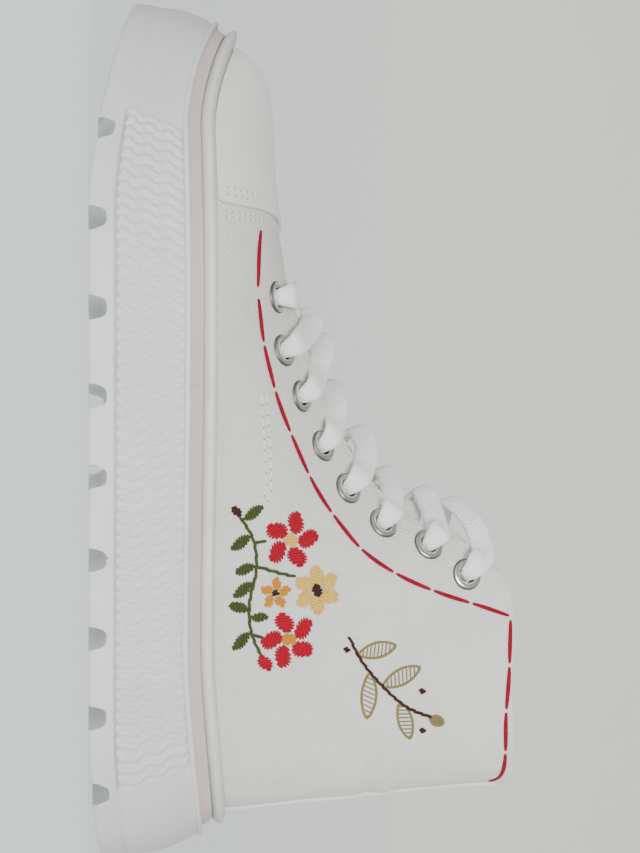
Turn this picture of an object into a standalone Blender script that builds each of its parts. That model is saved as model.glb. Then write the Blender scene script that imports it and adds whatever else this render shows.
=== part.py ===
"""Left high-top canvas sneaker on a platform sole: toe toward -X, outer side toward -Y, tread on z = 0."""
import math
from collections import namedtuple

import bmesh
import bpy
import numpy as np
from mathutils import Matrix, Vector

for leftover in list(bpy.data.objects):
    bpy.data.objects.remove(leftover, do_unlink=True)

MM = 0.001

# Driving sizes, in mm
UPPER_LENGTH = 257.5
BALL_WIDTH = 89.0
COLLAR_HEIGHT = 142.0
WALL = 2.0
CLEAR = 0.4
DECK_HEIGHT = 29.0
CUP_DEPTH = 3.0
RIM_HEIGHT = 3.9
INSOLE_THICK = 4.0
CAP_THICK = 1.2
STRIP_THICK = 1.0
STRIP_SPAN = 0.42
TONGUE_THICK = 2.6
TOE_SPRING = 16.0
TOE_BREAK = -64.0
TOE_RUN = 79.0
HEEL_LIFT = 5.0
HEEL_BREAK = 85.0
HEEL_RUN = 54.0
TOE_DECK_RISE = 15.0
TOE_DECK_BREAK = -92.0
TOE_DECK_RUN = 48.0
HEEL_DECK_RISE = 7.7
HEEL_DECK_BREAK = 62.0
HEEL_DECK_RUN = 73.0
TOE_FLARE = 1.5
HEEL_FLARE = 4.0
RIB_DEPTH = 0.6
RIBS_PER_COLUMN = 3
RIB_SWAY = 0.8
END_BULGE = 1.6
PANEL_TOE = -93.0
PANEL_HEEL = 104.0
LUG_GROOVES = (-87.5, -60.7, -35.4, -10.7, 12.1, 36.1, 59.1, 82.5, 105.7)
GROOVE_DEPTH = 5.0
GROOVE_MOUTH = 6.6
GROOVE_ROOT = 4.0
EYELETS = 8
EYELET_INSET = 12.0
EYELET_FIRST_INSET = 21.0
EYELET_START = 6.8
EYELET_PITCH = 17.4
EYELET_HOLE = 3.5
EYELET_FACETS = 10
LACE_WIDTH = 7.6
LACE_THICK = 1.5
LACE_BULGE = 6.5

# The last is written for a shoe of this length, ball width and collar height; the sizes above stretch it.
TABLE_LENGTH = 257.5
TABLE_WIDTH = 89.0
TABLE_HEIGHT = 142.0

# One row a rib of the last, toe to heel. outer and inner: foot of the rib on the two sides of the feather
# line. crown: top of the rib, on the ridge while half is zero, then on the throat edge and the collar.
# slope: fall of the cloth at the crown in degrees. rise and reach: pull of the rib's two ends.
Rib = namedtuple("Rib", "name outer_x outer_y inner_x inner_y crown_x crown_y half crown_z slope rise reach")
LAST = [
    Rib("toe_tip", -132.0, 5.0, -132.0, 5.0, -113.5, 4.0, 0.0, 59.8, 4, 15, 10),
    Rib("toe_corner", -123.0, -16.0, -124.0, 24.0, -107.0, 3.5, 0.0, 60.6, 5, 16, 13),
    Rib("toe_side", -105.0, -29.0, -107.0, 35.5, -96.0, 3.0, 0.0, 61.1, 6, 17, 17),
    Rib("cap_end", -82.0, -38.0, -86.0, 42.5, -80.0, 2.0, 0.0, 61.6, 7, 18, 20),
    Rib("ball", -58.0, -43.0, -62.0, 45.0, -65.0, 1.0, 0.0, 63.8, 9, 18, 22),
    Rib("vamp", -39.0, -44.0, -43.0, 44.0, -55.0, 0.0, 0.0, 65.4, 12, 19, 22),
    Rib("throat_low", -12.0, -43.0, -14.0, 38.5, -32.0, 0.0, 13.0, 69.2, 32, 22, 18),
    Rib("throat_mid", 15.0, -39.5, 13.0, 33.0, 0.0, 0.0, 12.5, 82.0, 45, 28, 24),
    Rib("throat_high", 40.0, -36.0, 38.0, 30.0, 25.0, 0.0, 14.5, 101.0, 56, 34, 30),
    Rib("throat_top", 58.0, -34.0, 57.0, 29.5, 39.5, 0.0, 17.0, 128.0, 70, 40, 36),
    Rib("collar_front", 73.0, -33.0, 72.0, 30.5, 55.0, 0.0, 22.0, 139.5, 84, 42, 40),
    Rib("collar_side", 95.0, -31.0, 94.0, 30.5, 86.0, 0.0, 31.0, 136.0, 90, 40, 40),
    Rib("heel_quarter", 116.5, -21.0, 116.5, 21.5, 114.0, 0.0, 22.5, 139.5, 91, 40, 40),
    Rib("heel_back", 125.5, 0.5, 125.5, 0.5, 123.8, 0.5, 0.0, 142.0, 92, 40, 40),
]
LAST_ROW = len(LAST) - 1
LOOP = 2 * LAST_ROW
COLUMNS_PER_ROW = 3
COLUMNS = LOOP * COLUMNS_PER_ROW
ROWS_UP = 7
ROWS_OVER = 5
VAMP_ROW = 5
CAP_END = 3.5

# Side of the sole, tread to rim. base: height counted from the tread or from the deck. out: distance
# outside the feather line. flare: share of the extra spread at toe and heel.
Step = namedtuple("Step", "name base height out flare")
SIDE_LOW = [
    Step("tread_edge", "tread", 0.0, 8.4, 1.0),
    Step("lug_round", "tread", 1.2, 9.3, 1.0),
    Step("lug_top", "tread", 7.2, 9.0, 0.95),
]
PANEL_LOW = Step("panel_low", "tread", 7.8, 8.4, 0.9)
PANEL_TOP = Step("panel_top", "deck", -1.9, 5.4, 0.55)
SIDE_HIGH = [
    Step("lip_low", "deck", -1.5, 6.2, 0.5),
    Step("lip_top", "deck", 0.0, 5.7, 0.5),
    Step("band_foot", "deck", 0.3, 4.2, 0.2),
    Step("band_top", "deck", RIM_HEIGHT, 3.9, 0.1),
    Step("cup_rim", "deck", RIM_HEIGHT, CLEAR, 0.0),
    Step("cup_floor", "deck", -CUP_DEPTH, CLEAR, 0.0),
]
ROLL = [
    Step("roll_foot", "deck", 4.2, CLEAR, 0.0),
    Step("roll_low", "deck", 4.2, 3.6, 0.0),
    Step("roll_belly", "deck", 6.2, 4.7, 0.0),
    Step("roll_high", "deck", 8.3, 3.4, 0.0),
    Step("roll_top", "deck", 8.3, CLEAR, 0.0),
]

def loop_rows():
    """Numbers of each rib round the loop: toe, outer side, heel, inner side."""
    long = UPPER_LENGTH / TABLE_LENGTH
    wide = BALL_WIDTH / TABLE_WIDTH
    tall = COLLAR_HEIGHT / TABLE_HEIGHT
    rows = []
    for place in range(LOOP):
        inner = place > LAST_ROW
        rib = LAST[LOOP - place] if inner else LAST[place]
        foot = (rib.inner_x, rib.inner_y) if inner else (rib.outer_x, rib.outer_y)
        side = 1.0 if inner else -1.0
        rows.append((foot[0] * long, foot[1] * wide, rib.crown_x * long, rib.crown_y * wide,
                     rib.half * side * wide, rib.crown_z * tall, rib.slope, rib.rise, rib.reach))
    return np.array(rows)


ROWS = loop_rows()


def row_of(place):
    """Place counted in table rows from the toe, whichever side it is on."""
    return min(place % LOOP, LOOP - place % LOOP)


def rib_plain(place):
    """Rib numbers at any place round the loop, by a closed cubic through the rows."""
    start = math.floor(place)
    part = place - start
    before, here, after, later = (ROWS[(start + step) % LOOP] for step in (-1, 0, 1, 2))
    line = (after - before) * part
    square = (2 * before - 5 * here + 4 * after - later) * part ** 2
    cube = (3 * here - before - 3 * after + later) * part ** 3
    return here + 0.5 * (line + square + cube)


def rib_at(place):
    """The same numbers, with the two sides' crowns brought together on the ridge ahead of the throat."""
    values = rib_plain(place)
    if row_of(place) <= VAMP_ROW + 1e-9:
        mirror = rib_plain((LOOP - place) % LOOP)
        values[2:4] = 0.5 * (values[2:4] + mirror[2:4])
        values[4] = 0.0
        values[5] = 0.5 * (values[5] + mirror[5])
    return values


def outward(place):
    """Level direction square to the feather line, pointing away from the foot."""
    ahead = rib_plain(place + 0.02)
    behind = rib_plain(place - 0.02)
    along = ahead[:2] - behind[:2]
    along = along / np.linalg.norm(along)
    return np.array((along[1], -along[0]))


def tread(x):
    """Height of the tread: flat under heel and ball, lifted at both ends."""
    if x < TOE_BREAK:
        return TOE_SPRING * ((TOE_BREAK - x) / TOE_RUN) ** 1.6
    if x > HEEL_BREAK:
        return HEEL_LIFT * ((x - HEEL_BREAK) / HEEL_RUN) ** 1.8
    return 0.0


def deck(x):
    """Height of the sole's upper lip along the shoe."""
    if x < TOE_DECK_BREAK:
        return DECK_HEIGHT + TOE_DECK_RISE * ((TOE_DECK_BREAK - x) / TOE_DECK_RUN) ** 1.6
    if x > HEEL_DECK_BREAK:
        return DECK_HEIGHT + HEEL_DECK_RISE * ((x - HEEL_DECK_BREAK) / HEEL_DECK_RUN) ** 1.6
    return DECK_HEIGHT


def flare(x):
    """Extra spread of the sole at the toe and heel ends."""
    toe = min(1.0, max(0.0, (-100.0 - x) / 36.0))
    heel = min(1.0, max(0.0, (x - 85.0) / 45.0))
    return TOE_FLARE * toe ** 1.5 + HEEL_FLARE * heel ** 1.5


def side_point(place, step, extra=0.0):
    """A point on one step of the sole's side."""
    foot = rib_plain(place)[:2]
    out = step.out + step.flare * flare(foot[0]) + extra
    x, y = foot + outward(place) * out
    base = tread(x) if step.base == "tread" else deck(x)
    return Vector((x, y, base + step.height))


def last_point(place, up):
    """A point of the last's skin: place round the loop, up from the feather line (0) to the crown (1)."""
    x, y, crown_x, crown_y, half, crown_z, slope, rise, reach = rib_at(place)
    out = outward(place)
    foot = np.array((x, y, deck(x) - CUP_DEPTH + CLEAR))
    crown = np.array((crown_x, crown_y + half, crown_z))
    low = foot + np.array((0.0, 0.0, rise))
    fall = math.radians(slope)
    high = crown + reach * np.array((out[0] * math.cos(fall), out[1] * math.cos(fall), -math.sin(fall)))
    rest = 1.0 - up
    return rest ** 3 * foot + 3 * rest ** 2 * up * low + 3 * rest * up ** 2 * high + up ** 3 * crown


def normal_plain(place, up):
    """Direction square to the skin, away from the foot."""
    around = last_point(place + 0.02, up) - last_point(place - 0.02, up)
    top = min(1.0, up + 0.01)
    bottom = max(0.0, up - 0.01)
    along = last_point(place, top) - last_point(place, bottom)
    square = np.cross(around, along)
    return square / np.linalg.norm(square)


def skin(place, up, out=0.0):
    """A point at a set distance outside the last's skin."""
    square = normal_plain(place, min(up, 0.985))
    if up > 0.999 and row_of(place) <= VAMP_ROW + 1e-9:
        square = square + normal_plain(LOOP - place, 0.985)
        square = square / np.linalg.norm(square)
    return Vector(last_point(place, up) + out * square)


def up_at_height(place, height):
    """Where a rib reaches a height."""
    low, high = 0.0, 1.0
    for _ in range(30):
        middle = 0.5 * (low + high)
        if last_point(place, middle)[2] < height:
            low = middle
        else:
            high = middle
    return 0.5 * (low + high)


def up_from_crown(place, distance):
    """Where a rib is a set length of cloth below its crown."""
    steps = 60
    gone = 0.0
    last = last_point(place, 1.0)
    for count in range(1, steps + 1):
        up = 1.0 - count / steps
        point = last_point(place, up)
        gone += np.linalg.norm(point - last)
        last = point
        if gone >= distance:
            return up
    return 0.0


def paint(name, colour, roughness, metal=0.0):
    """A plain material for one piece."""
    material = bpy.data.materials.new(name)
    material.use_nodes = True
    shader = material.node_tree.nodes["Principled BSDF"]
    shader.inputs["Base Color"].default_value = (*colour, 1.0)
    shader.inputs["Roughness"].default_value = roughness
    shader.inputs["Metallic"].default_value = metal
    return material


WHITE_RUBBER = (0.80, 0.80, 0.78)
WHITE_CLOTH = (0.82, 0.82, 0.80)


def finish(name, shape, material):
    """Turns a bmesh in mm into a named object in metres."""
    bmesh.ops.recalc_face_normals(shape, faces=shape.faces)
    closed = all(edge.is_manifold for edge in shape.edges)
    if closed and shape.calc_volume(signed=True) < 0.0:
        bmesh.ops.reverse_faces(shape, faces=shape.faces)
    bmesh.ops.scale(shape, vec=(MM, MM, MM), verts=shape.verts)
    mesh = bpy.data.meshes.new(name)
    shape.to_mesh(mesh)
    shape.free()
    mesh.materials.append(material)
    thing = bpy.data.objects.new(name, mesh)
    bpy.context.scene.collection.objects.link(thing)
    return thing


def add_ring(shape, points):
    return [shape.verts.new(point) for point in points]


def join_rings(shape, low, high):
    """Faces between two closed rings, the finer with a whole number of points for each of the other's."""
    count = min(len(low), len(high))
    low_step = len(low) // count
    high_step = len(high) // count
    for turn in range(count):
        below = [low[(turn * low_step + step) % len(low)] for step in range(low_step + 1)]
        above = [high[(turn * high_step + step) % len(high)] for step in range(high_step + 1)]
        shape.faces.new(below + above[::-1])


def ladder(shape, ring):
    """Closes a ring with rungs across the shoe, outer side to inner side."""
    count = len(ring)
    for rung in range(count // 2):
        corners = [ring[rung], ring[rung + 1], ring[count - rung - 1], ring[(count - rung) % count]]
        kept = []
        for corner in corners:
            if corner not in kept:
                kept.append(corner)
        shape.faces.new(kept)


def column_places(fineness=1):
    return [turn / (COLUMNS_PER_ROW * fineness) for turn in range(COLUMNS * fineness)]


def sheet(shape, places, ups, out, closed):
    """A grid of skin points; ups gives the heights for each place."""
    columns = [[shape.verts.new(skin(place, up, out)) for up in ups(place)] for place in places]
    pairs = zip(columns, columns[1:] + columns[:1]) if closed else zip(columns, columns[1:])
    for here, following in pairs:
        for low in range(len(here) - 1):
            shape.faces.new((here[low], following[low], following[low + 1], here[low + 1]))
    bmesh.ops.remove_doubles(shape, verts=shape.verts, dist=0.02)


def thicken(thing, thickness, outward_share):
    """Gives a sheet its thickness; share 1 grows outward, share -1 inward."""
    solid = thing.modifiers.new("thickness", "SOLIDIFY")
    solid.thickness = thickness * MM
    solid.offset = outward_share
    solid.use_even_offset = True


def panel_ring(step_low, step_top, share, sway):
    """One fine ring across the ribbed panel, ribs swaying to and fro with height."""
    fineness = 2 * RIBS_PER_COLUMN
    points = []
    for turn, place in enumerate(column_places(fineness)):
        x = rib_plain(place)[0]
        ribbed = PANEL_TOE < x < PANEL_HEEL
        edge = turn % fineness == 0
        relief = RIB_DEPTH if ribbed and turn % 2 else 0.0
        drift = sway * 0.1 if ribbed and not edge else 0.0
        low = side_point(place + drift, step_low, relief)
        top = side_point(place + drift, step_top, relief)
        swell = 4.0 * share * (1.0 - share) * END_BULGE * min(1.0, flare(x) / TOE_FLARE)
        away = outward(place)
        points.append(low.lerp(top, share) + Vector((away[0], away[1], 0.0)) * swell)
    return points


def build_sole():
    shape = bmesh.new()
    places = column_places()
    rings = [add_ring(shape, [side_point(place, step) for place in places]) for step in SIDE_LOW]
    for share, sway in ((0.0, 0.0), (0.5, RIB_SWAY), (1.0, 0.0)):
        rings.append(add_ring(shape, panel_ring(PANEL_LOW, PANEL_TOP, share, sway)))
    rings += [add_ring(shape, [side_point(place, step) for place in places]) for step in SIDE_HIGH]
    for low, high in zip(rings, rings[1:]):
        join_rings(shape, low, high)
    ladder(shape, rings[0])
    ladder(shape, rings[-1])
    sole = finish("sole", shape, paint("sole rubber", WHITE_RUBBER, 0.5))
    cutter_shape = bmesh.new()
    for x in LUG_GROOVES:
        lift = tread(x)
        mouth = GROOVE_MOUTH / 2
        root = GROOVE_ROOT / 2
        outline = ((-mouth, lift - 6.0), (mouth, lift - 6.0), (mouth, lift), (root, lift + GROOVE_DEPTH),
                   (-root, lift + GROOVE_DEPTH), (-mouth, lift))
        ends = [[cutter_shape.verts.new((x + run, y, z)) for run, z in outline] for y in (-80.0, 80.0)]
        for turn in range(len(outline)):
            after = (turn + 1) % len(outline)
            cutter_shape.faces.new((ends[0][turn], ends[0][after], ends[1][after], ends[1][turn]))
        for end in ends:
            cutter_shape.faces.new(end)
    cutter = finish("groove_cutter", cutter_shape, paint("groove cut", (0.5, 0.5, 0.5), 0.5))
    carve(sole, cutter)
    return sole


def carve(thing, cutter):
    """Cuts one piece with a hidden cutter."""
    cut = thing.modifiers.new("cut", "BOOLEAN")
    cut.operation = "DIFFERENCE"
    cut.solver = "EXACT"
    cut.object = cutter
    cutter.hide_render = True
    cutter.display_type = "WIRE"


def build_roll():
    shape = bmesh.new()
    places = column_places()
    rings = [add_ring(shape, [side_point(place, step) for place in places]) for step in ROLL]
    for low, high in zip(rings, rings[1:] + rings[:1]):
        join_rings(shape, low, high)
    return finish("foxing_roll", shape, paint("foxing rubber", WHITE_RUBBER, 0.45))


def build_insole():
    shape = bmesh.new()
    base = -CUP_DEPTH + CLEAR
    under = Step("under", "deck", base, -WALL - 0.6, 0.0)
    over = Step("over", "deck", base + INSOLE_THICK, -WALL - 0.9, 0.0)
    places = column_places()
    rings = [add_ring(shape, [side_point(place, step) for place in places]) for step in (under, over)]
    join_rings(shape, rings[0], rings[1])
    ladder(shape, rings[0])
    ladder(shape, rings[1])
    return finish("insole", shape, paint("insole cloth", WHITE_CLOTH, 0.9))


def eyelet_inset(place):
    """Distance of the eyelet line from the throat edge, wider at the foot of the throat."""
    low = max(0.0, 1.0 - (row_of(place) - VAMP_ROW) / 1.6)
    return EYELET_INSET + (EYELET_FIRST_INSET - EYELET_INSET) * low


def eyelet_line(side):
    """Places round the loop of the eyelets on one side, evenly spaced along the throat edge."""
    samples = np.linspace(VAMP_ROW + 0.1, VAMP_ROW + 5.0, 120)
    gone = 0.0
    marks = []
    last = None
    for sample in samples:
        place = sample if side == "outer" else LOOP - sample
        point = last_point(place, up_from_crown(place, eyelet_inset(place)))
        if last is not None:
            gone += np.linalg.norm(point - last)
        last = point
        if gone >= EYELET_START + EYELET_PITCH * len(marks) and len(marks) < EYELETS:
            marks.append(place)
    return marks


def eyelet_frame(place):
    """Axes of an eyelet: centre on the skin, outward axis."""
    up = up_from_crown(place, eyelet_inset(place))
    axis = Vector(normal_plain(place, up))
    turn = Vector((0, 0, 1)).rotation_difference(axis).to_matrix().to_4x4()
    return Matrix.Translation(skin(place, up)) @ turn


def lathe(shape, outline, frame):
    """Turns a closed outline of radius and height about an eyelet's axis."""
    rings = []
    for turn in range(EYELET_FACETS):
        angle = 2 * math.pi * turn / EYELET_FACETS
        ring = [frame @ Vector((r * math.cos(angle), r * math.sin(angle), h)) for r, h in outline]
        rings.append([shape.verts.new(point) for point in ring])
    for here, following in zip(rings, rings[1:] + rings[:1]):
        for low in range(len(outline)):
            top = (low + 1) % len(outline)
            shape.faces.new((here[low], following[low], following[top], here[top]))


def build_eyelets():
    metal = paint("eyelet nickel", (0.62, 0.62, 0.64), 0.3, 1.0)
    foot = -WALL - 0.4
    outline = ((2.6, foot), (3.1, foot), (3.1, CLEAR), (5.3, CLEAR + 0.2), (2.9, 1.4))
    for side in ("outer", "inner"):
        for number, place in enumerate(eyelet_line(side), 1):
            shape = bmesh.new()
            lathe(shape, outline, eyelet_frame(place))
            finish(f"eyelet_{side}_{number}", shape, metal)


def build_hole_cutter():
    shape = bmesh.new()
    for side in ("outer", "inner"):
        for place in eyelet_line(side):
            frame = eyelet_frame(place)
            turns = [2 * math.pi * turn / EYELET_FACETS for turn in range(EYELET_FACETS)]
            circle = [(EYELET_HOLE * math.cos(angle), EYELET_HOLE * math.sin(angle)) for angle in turns]
            rings = []
            for height in (-7.0, 4.0):
                rings.append(add_ring(shape, [frame @ Vector((x, y, height)) for x, y in circle]))
            join_rings(shape, rings[0], rings[1])
            shape.faces.new(rings[0])
            shape.faces.new(rings[1])
    return finish("eyelet_hole_cutter", shape, paint("hole cut", (0.5, 0.5, 0.5), 0.5))


def build_upper():
    shape = bmesh.new()
    sheet(shape, column_places(), lambda place: [row / ROWS_UP for row in range(ROWS_UP + 1)], 0.0, True)
    upper = finish("upper", shape, paint("canvas", WHITE_CLOTH, 0.9))
    thicken(upper, WALL, -1.0)
    carve(upper, build_hole_cutter())
    return upper


def above_roll(place):
    """Heights of an overlay that starts just above the foxing roll."""
    x = rib_plain(place)[0]
    start = up_at_height(place, deck(x) + 8.8)
    return [start + (1.0 - start) * row / ROWS_OVER for row in range(ROWS_OVER + 1)]


def build_toe_cap():
    shape = bmesh.new()
    inside = [turn / COLUMNS_PER_ROW for turn in range(1, int(CAP_END * COLUMNS_PER_ROW) + 1)]
    places = [-CAP_END] + [-place for place in reversed(inside)] + [0.0] + inside + [CAP_END]
    sheet(shape, places, above_roll, CLEAR, False)
    cap = finish("toe_cap", shape, paint("toe cap leather", (0.83, 0.83, 0.82), 0.45))
    thicken(cap, CAP_THICK, 1.0)
    return cap


def build_heel_strip():
    shape = bmesh.new()
    places = [LAST_ROW + STRIP_SPAN * share for share in (-1.0, -0.5, 0.0, 0.5, 1.0)]
    sheet(shape, places, lambda place: [min(0.985, up) for up in above_roll(place)], CLEAR, False)
    strip = finish("heel_strip", shape, paint("heel tape", WHITE_CLOTH, 0.9))
    thicken(strip, STRIP_THICK, 1.0)
    return strip


def tongue_arc(row):
    """Points across the tongue: under one eyestay, over the gap, under the other."""
    inset = WALL + 1.3
    wing = 14.0
    outer, inner = row, LOOP - row
    left = []
    right = []
    for depth in (wing, wing * 0.5, 1.0):
        left.append(skin(outer, up_from_crown(outer, depth), -inset))
        right.append(skin(inner, up_from_crown(inner, depth), -inset))
    start, end = left[-1], right[-1]
    pull_left = (left[-1] - left[-2]).normalized() * (end - start).length * 0.35
    pull_right = (right[-1] - right[-2]).normalized() * (end - start).length * 0.35
    middle = []
    for share in (0.25, 0.5, 0.75):
        rest = 1.0 - share
        middle.append(rest ** 3 * start + 3 * rest ** 2 * share * (start + pull_left)
                      + 3 * rest * share ** 2 * (end + pull_right) + share ** 3 * end)
    return left + middle + right[::-1]


def build_tongue():
    shape = bmesh.new()
    rows = [VAMP_ROW - 0.35 + 0.595 * step for step in range(8)]
    columns = [[shape.verts.new(point) for point in tongue_arc(row)] for row in rows]
    for here, following in zip(columns, columns[1:]):
        for low in range(len(here) - 1):
            shape.faces.new((here[low], here[low + 1], following[low + 1], following[low]))
    tongue = finish("tongue", shape, paint("tongue cloth", WHITE_CLOTH, 0.9))
    thicken(tongue, TONGUE_THICK, -1.0)
    return tongue


def strand(number, side):
    """Path of a strand from its eyelet over the throat edge and on into the gap, toward the pair below."""
    marks = eyelet_line(side)
    others = eyelet_line("inner" if side == "outer" else "outer")
    place = marks[number - 1]
    below = marks[number - 2] if number > 1 else place
    opposite = others[number - 2] if number > 1 else others[0]
    up = up_from_crown(place, eyelet_inset(place))
    start_normal = Vector(normal_plain(place, up))
    start = skin(place, up, 2.5)
    over_place = place + (below - place) * 0.28
    over_normal = Vector(normal_plain(over_place, 0.97))
    over = skin(over_place, 0.985, 2.6)
    far_edge = skin(opposite, 1.0, 1.4)
    near_edge = skin(below, 1.0, 1.4)
    half_up = 0.5 * (skin(place, 1.0) + skin(others[number - 1], 1.0))
    half_low = 0.5 * (near_edge + far_edge)
    middle = half_low.lerp(half_up, 0.5)
    across = (far_edge - near_edge).normalized() if side == "outer" else (near_edge - far_edge).normalized()
    along = (half_up - half_low)
    if number == 1:
        along = skin(LOOP - 6.0, 1.0) - skin(LOOP - 5.5, 1.0)
        along.y = 0.0
    face = across.cross(along).normalized()
    if face.z < 0:
        face = -face
    middle = middle + face * LACE_BULGE
    leaving = start.lerp(over, 0.5) + start_normal * 0.4
    crossing = over.lerp(middle, 0.5) + face * 0.7
    path = [start, leaving, over, crossing, middle]
    squares = [start_normal, start_normal, over_normal, (over_normal + face).normalized(), face]
    return path, squares


def ring_at(shape, point, ahead, square):
    """Four corners of a strand: two on its face, two on its back."""
    across = ahead.cross(square).normalized()
    lift = across.cross(ahead).normalized() * LACE_THICK / 2
    half = across * LACE_WIDTH / 2
    corners = (half + lift, lift - half, -half - lift, half - lift)
    return [shape.verts.new(point + corner) for corner in corners]


def run_arm(shape, ring, path, squares):
    """Carries a strand on from a ring along a path and closes its end."""
    for spot in range(1, len(path)):
        ahead = path[min(spot + 1, len(path) - 1)] - path[spot - 1]
        following = ring_at(shape, path[spot], ahead, squares[spot])
        for turn in range(4):
            after = (turn + 1) % 4
            shape.faces.new((ring[turn], ring[after], following[after], following[turn]))
        ring = following
    shape.faces.new(ring)


def build_laces():
    """A flat band over the throat at each pair of eyelets; all but the first dip toward the pair below."""
    cotton = paint("lace cotton", (0.85, 0.85, 0.84), 0.9)
    for number in range(1, EYELETS + 1):
        shape = bmesh.new()
        near, near_squares = strand(number, "outer")
        far, far_squares = strand(number, "inner")
        path = near + far[-2::-1]
        squares = near_squares + far_squares[-2::-1]
        first = ring_at(shape, path[0], path[1] - path[0], squares[0])
        shape.faces.new(first)
        run_arm(shape, first, path, squares)
        finish("lace_bar" if number == 1 else f"lace_cross_{number}", shape, cotton)


def centre_everything():
    """Moves the shoe so that the middle of its box stands over the origin, tread on the floor."""
    corners = np.array([tuple(v.co) for v in bpy.data.objects["sole"].data.vertices])
    low, high = corners.min(axis=0), corners.max(axis=0)
    shift = Matrix.Translation((-(low[0] + high[0]) / 2, -(low[1] + high[1]) / 2, -low[2]))
    for thing in bpy.data.objects:
        thing.data.transform(shift)


build_sole()
build_roll()
build_insole()
build_upper()
build_toe_cap()
build_heel_strip()
build_tongue()
build_eyelets()
build_laces()
centre_everything()
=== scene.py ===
# %% [markdown]
# # A white canvas high-top on a platform sole
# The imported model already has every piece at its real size: sole, foxing roll, hollow upper, toe cap, heel
# tape, tongue, insole, eyelets and lace. This lesson gives each piece the surface that the eye expects.
# Most pieces start as a flat grid, as cloth and rubber do on a cutting table, and are pulled over the
# shoe's form.

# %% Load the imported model
import math
from collections import namedtuple

import bmesh
import bpy
import numpy as np
from mathutils import Matrix, Vector
from mathutils.bvhtree import BVHTree


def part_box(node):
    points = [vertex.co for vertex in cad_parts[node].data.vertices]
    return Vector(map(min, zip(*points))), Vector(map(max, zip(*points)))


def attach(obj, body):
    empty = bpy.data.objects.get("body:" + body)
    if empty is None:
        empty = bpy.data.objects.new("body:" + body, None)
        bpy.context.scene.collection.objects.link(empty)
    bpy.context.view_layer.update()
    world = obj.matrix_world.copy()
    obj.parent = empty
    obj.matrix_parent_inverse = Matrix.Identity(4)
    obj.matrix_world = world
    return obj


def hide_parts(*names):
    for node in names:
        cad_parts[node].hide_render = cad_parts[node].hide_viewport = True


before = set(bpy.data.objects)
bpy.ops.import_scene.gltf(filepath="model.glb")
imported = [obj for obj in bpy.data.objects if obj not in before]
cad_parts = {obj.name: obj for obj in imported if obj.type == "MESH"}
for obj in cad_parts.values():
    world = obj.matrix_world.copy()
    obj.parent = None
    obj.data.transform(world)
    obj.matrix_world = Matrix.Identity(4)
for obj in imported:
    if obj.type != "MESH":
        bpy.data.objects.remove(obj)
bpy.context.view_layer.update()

MM = 0.001

# %% Curves and lengths, for whole arrays of points


def unit(rows):
    """Vectors made one long."""
    return rows / np.linalg.norm(rows, axis=-1, keepdims=True)


def run_along(path):
    """Length gone at each point of a path."""
    return np.append(0.0, np.cumsum(np.linalg.norm(np.diff(path, axis=0), axis=1)))


def length_of(path):
    return np.linalg.norm(np.diff(path, axis=0), axis=1).sum()


def cubic(before, here, after, later, share):
    """A smooth step from here to after that heeds the row on either side; share runs 0 to 1."""
    line = (after - before) * share
    square = (2 * before - 5 * here + 4 * after - later) * share ** 2
    cube = (3 * here - before - 3 * after + later) * share ** 3
    return here + 0.5 * (line + square + cube)


def smooth_rows(rows, fineness):
    """Many rows between given ones, by the same cubic; both ends run straight on."""
    rows = np.vstack((2 * rows[0] - rows[1], rows, 2 * rows[-1] - rows[-2]))
    dense = []
    for at in range(1, len(rows) - 2):
        dense += [cubic(*rows[at - 1:at + 3], share) for share in np.arange(fineness) / fineness]
    return np.array(dense + [rows[-2]])


def bend(start, pull_start, pull_end, end, share):
    """A Bezier curve from start to end, drawn toward two points on the way."""
    rest = 1.0 - share
    outer = rest ** 3 * start + 3 * rest ** 2 * share * pull_start
    return outer + 3 * rest * share ** 2 * pull_end + share ** 3 * end


# %% [markdown]
# ## The last
# A shoe is built round a last, a wooden foot. Each row below is one rib of it: the foot of the rib on the
# feather line, where cloth meets sole, and the crown at the top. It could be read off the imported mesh, but
# that is made of coarse facets. A smooth curve through the same ribs gives the same form at any fineness.

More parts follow.
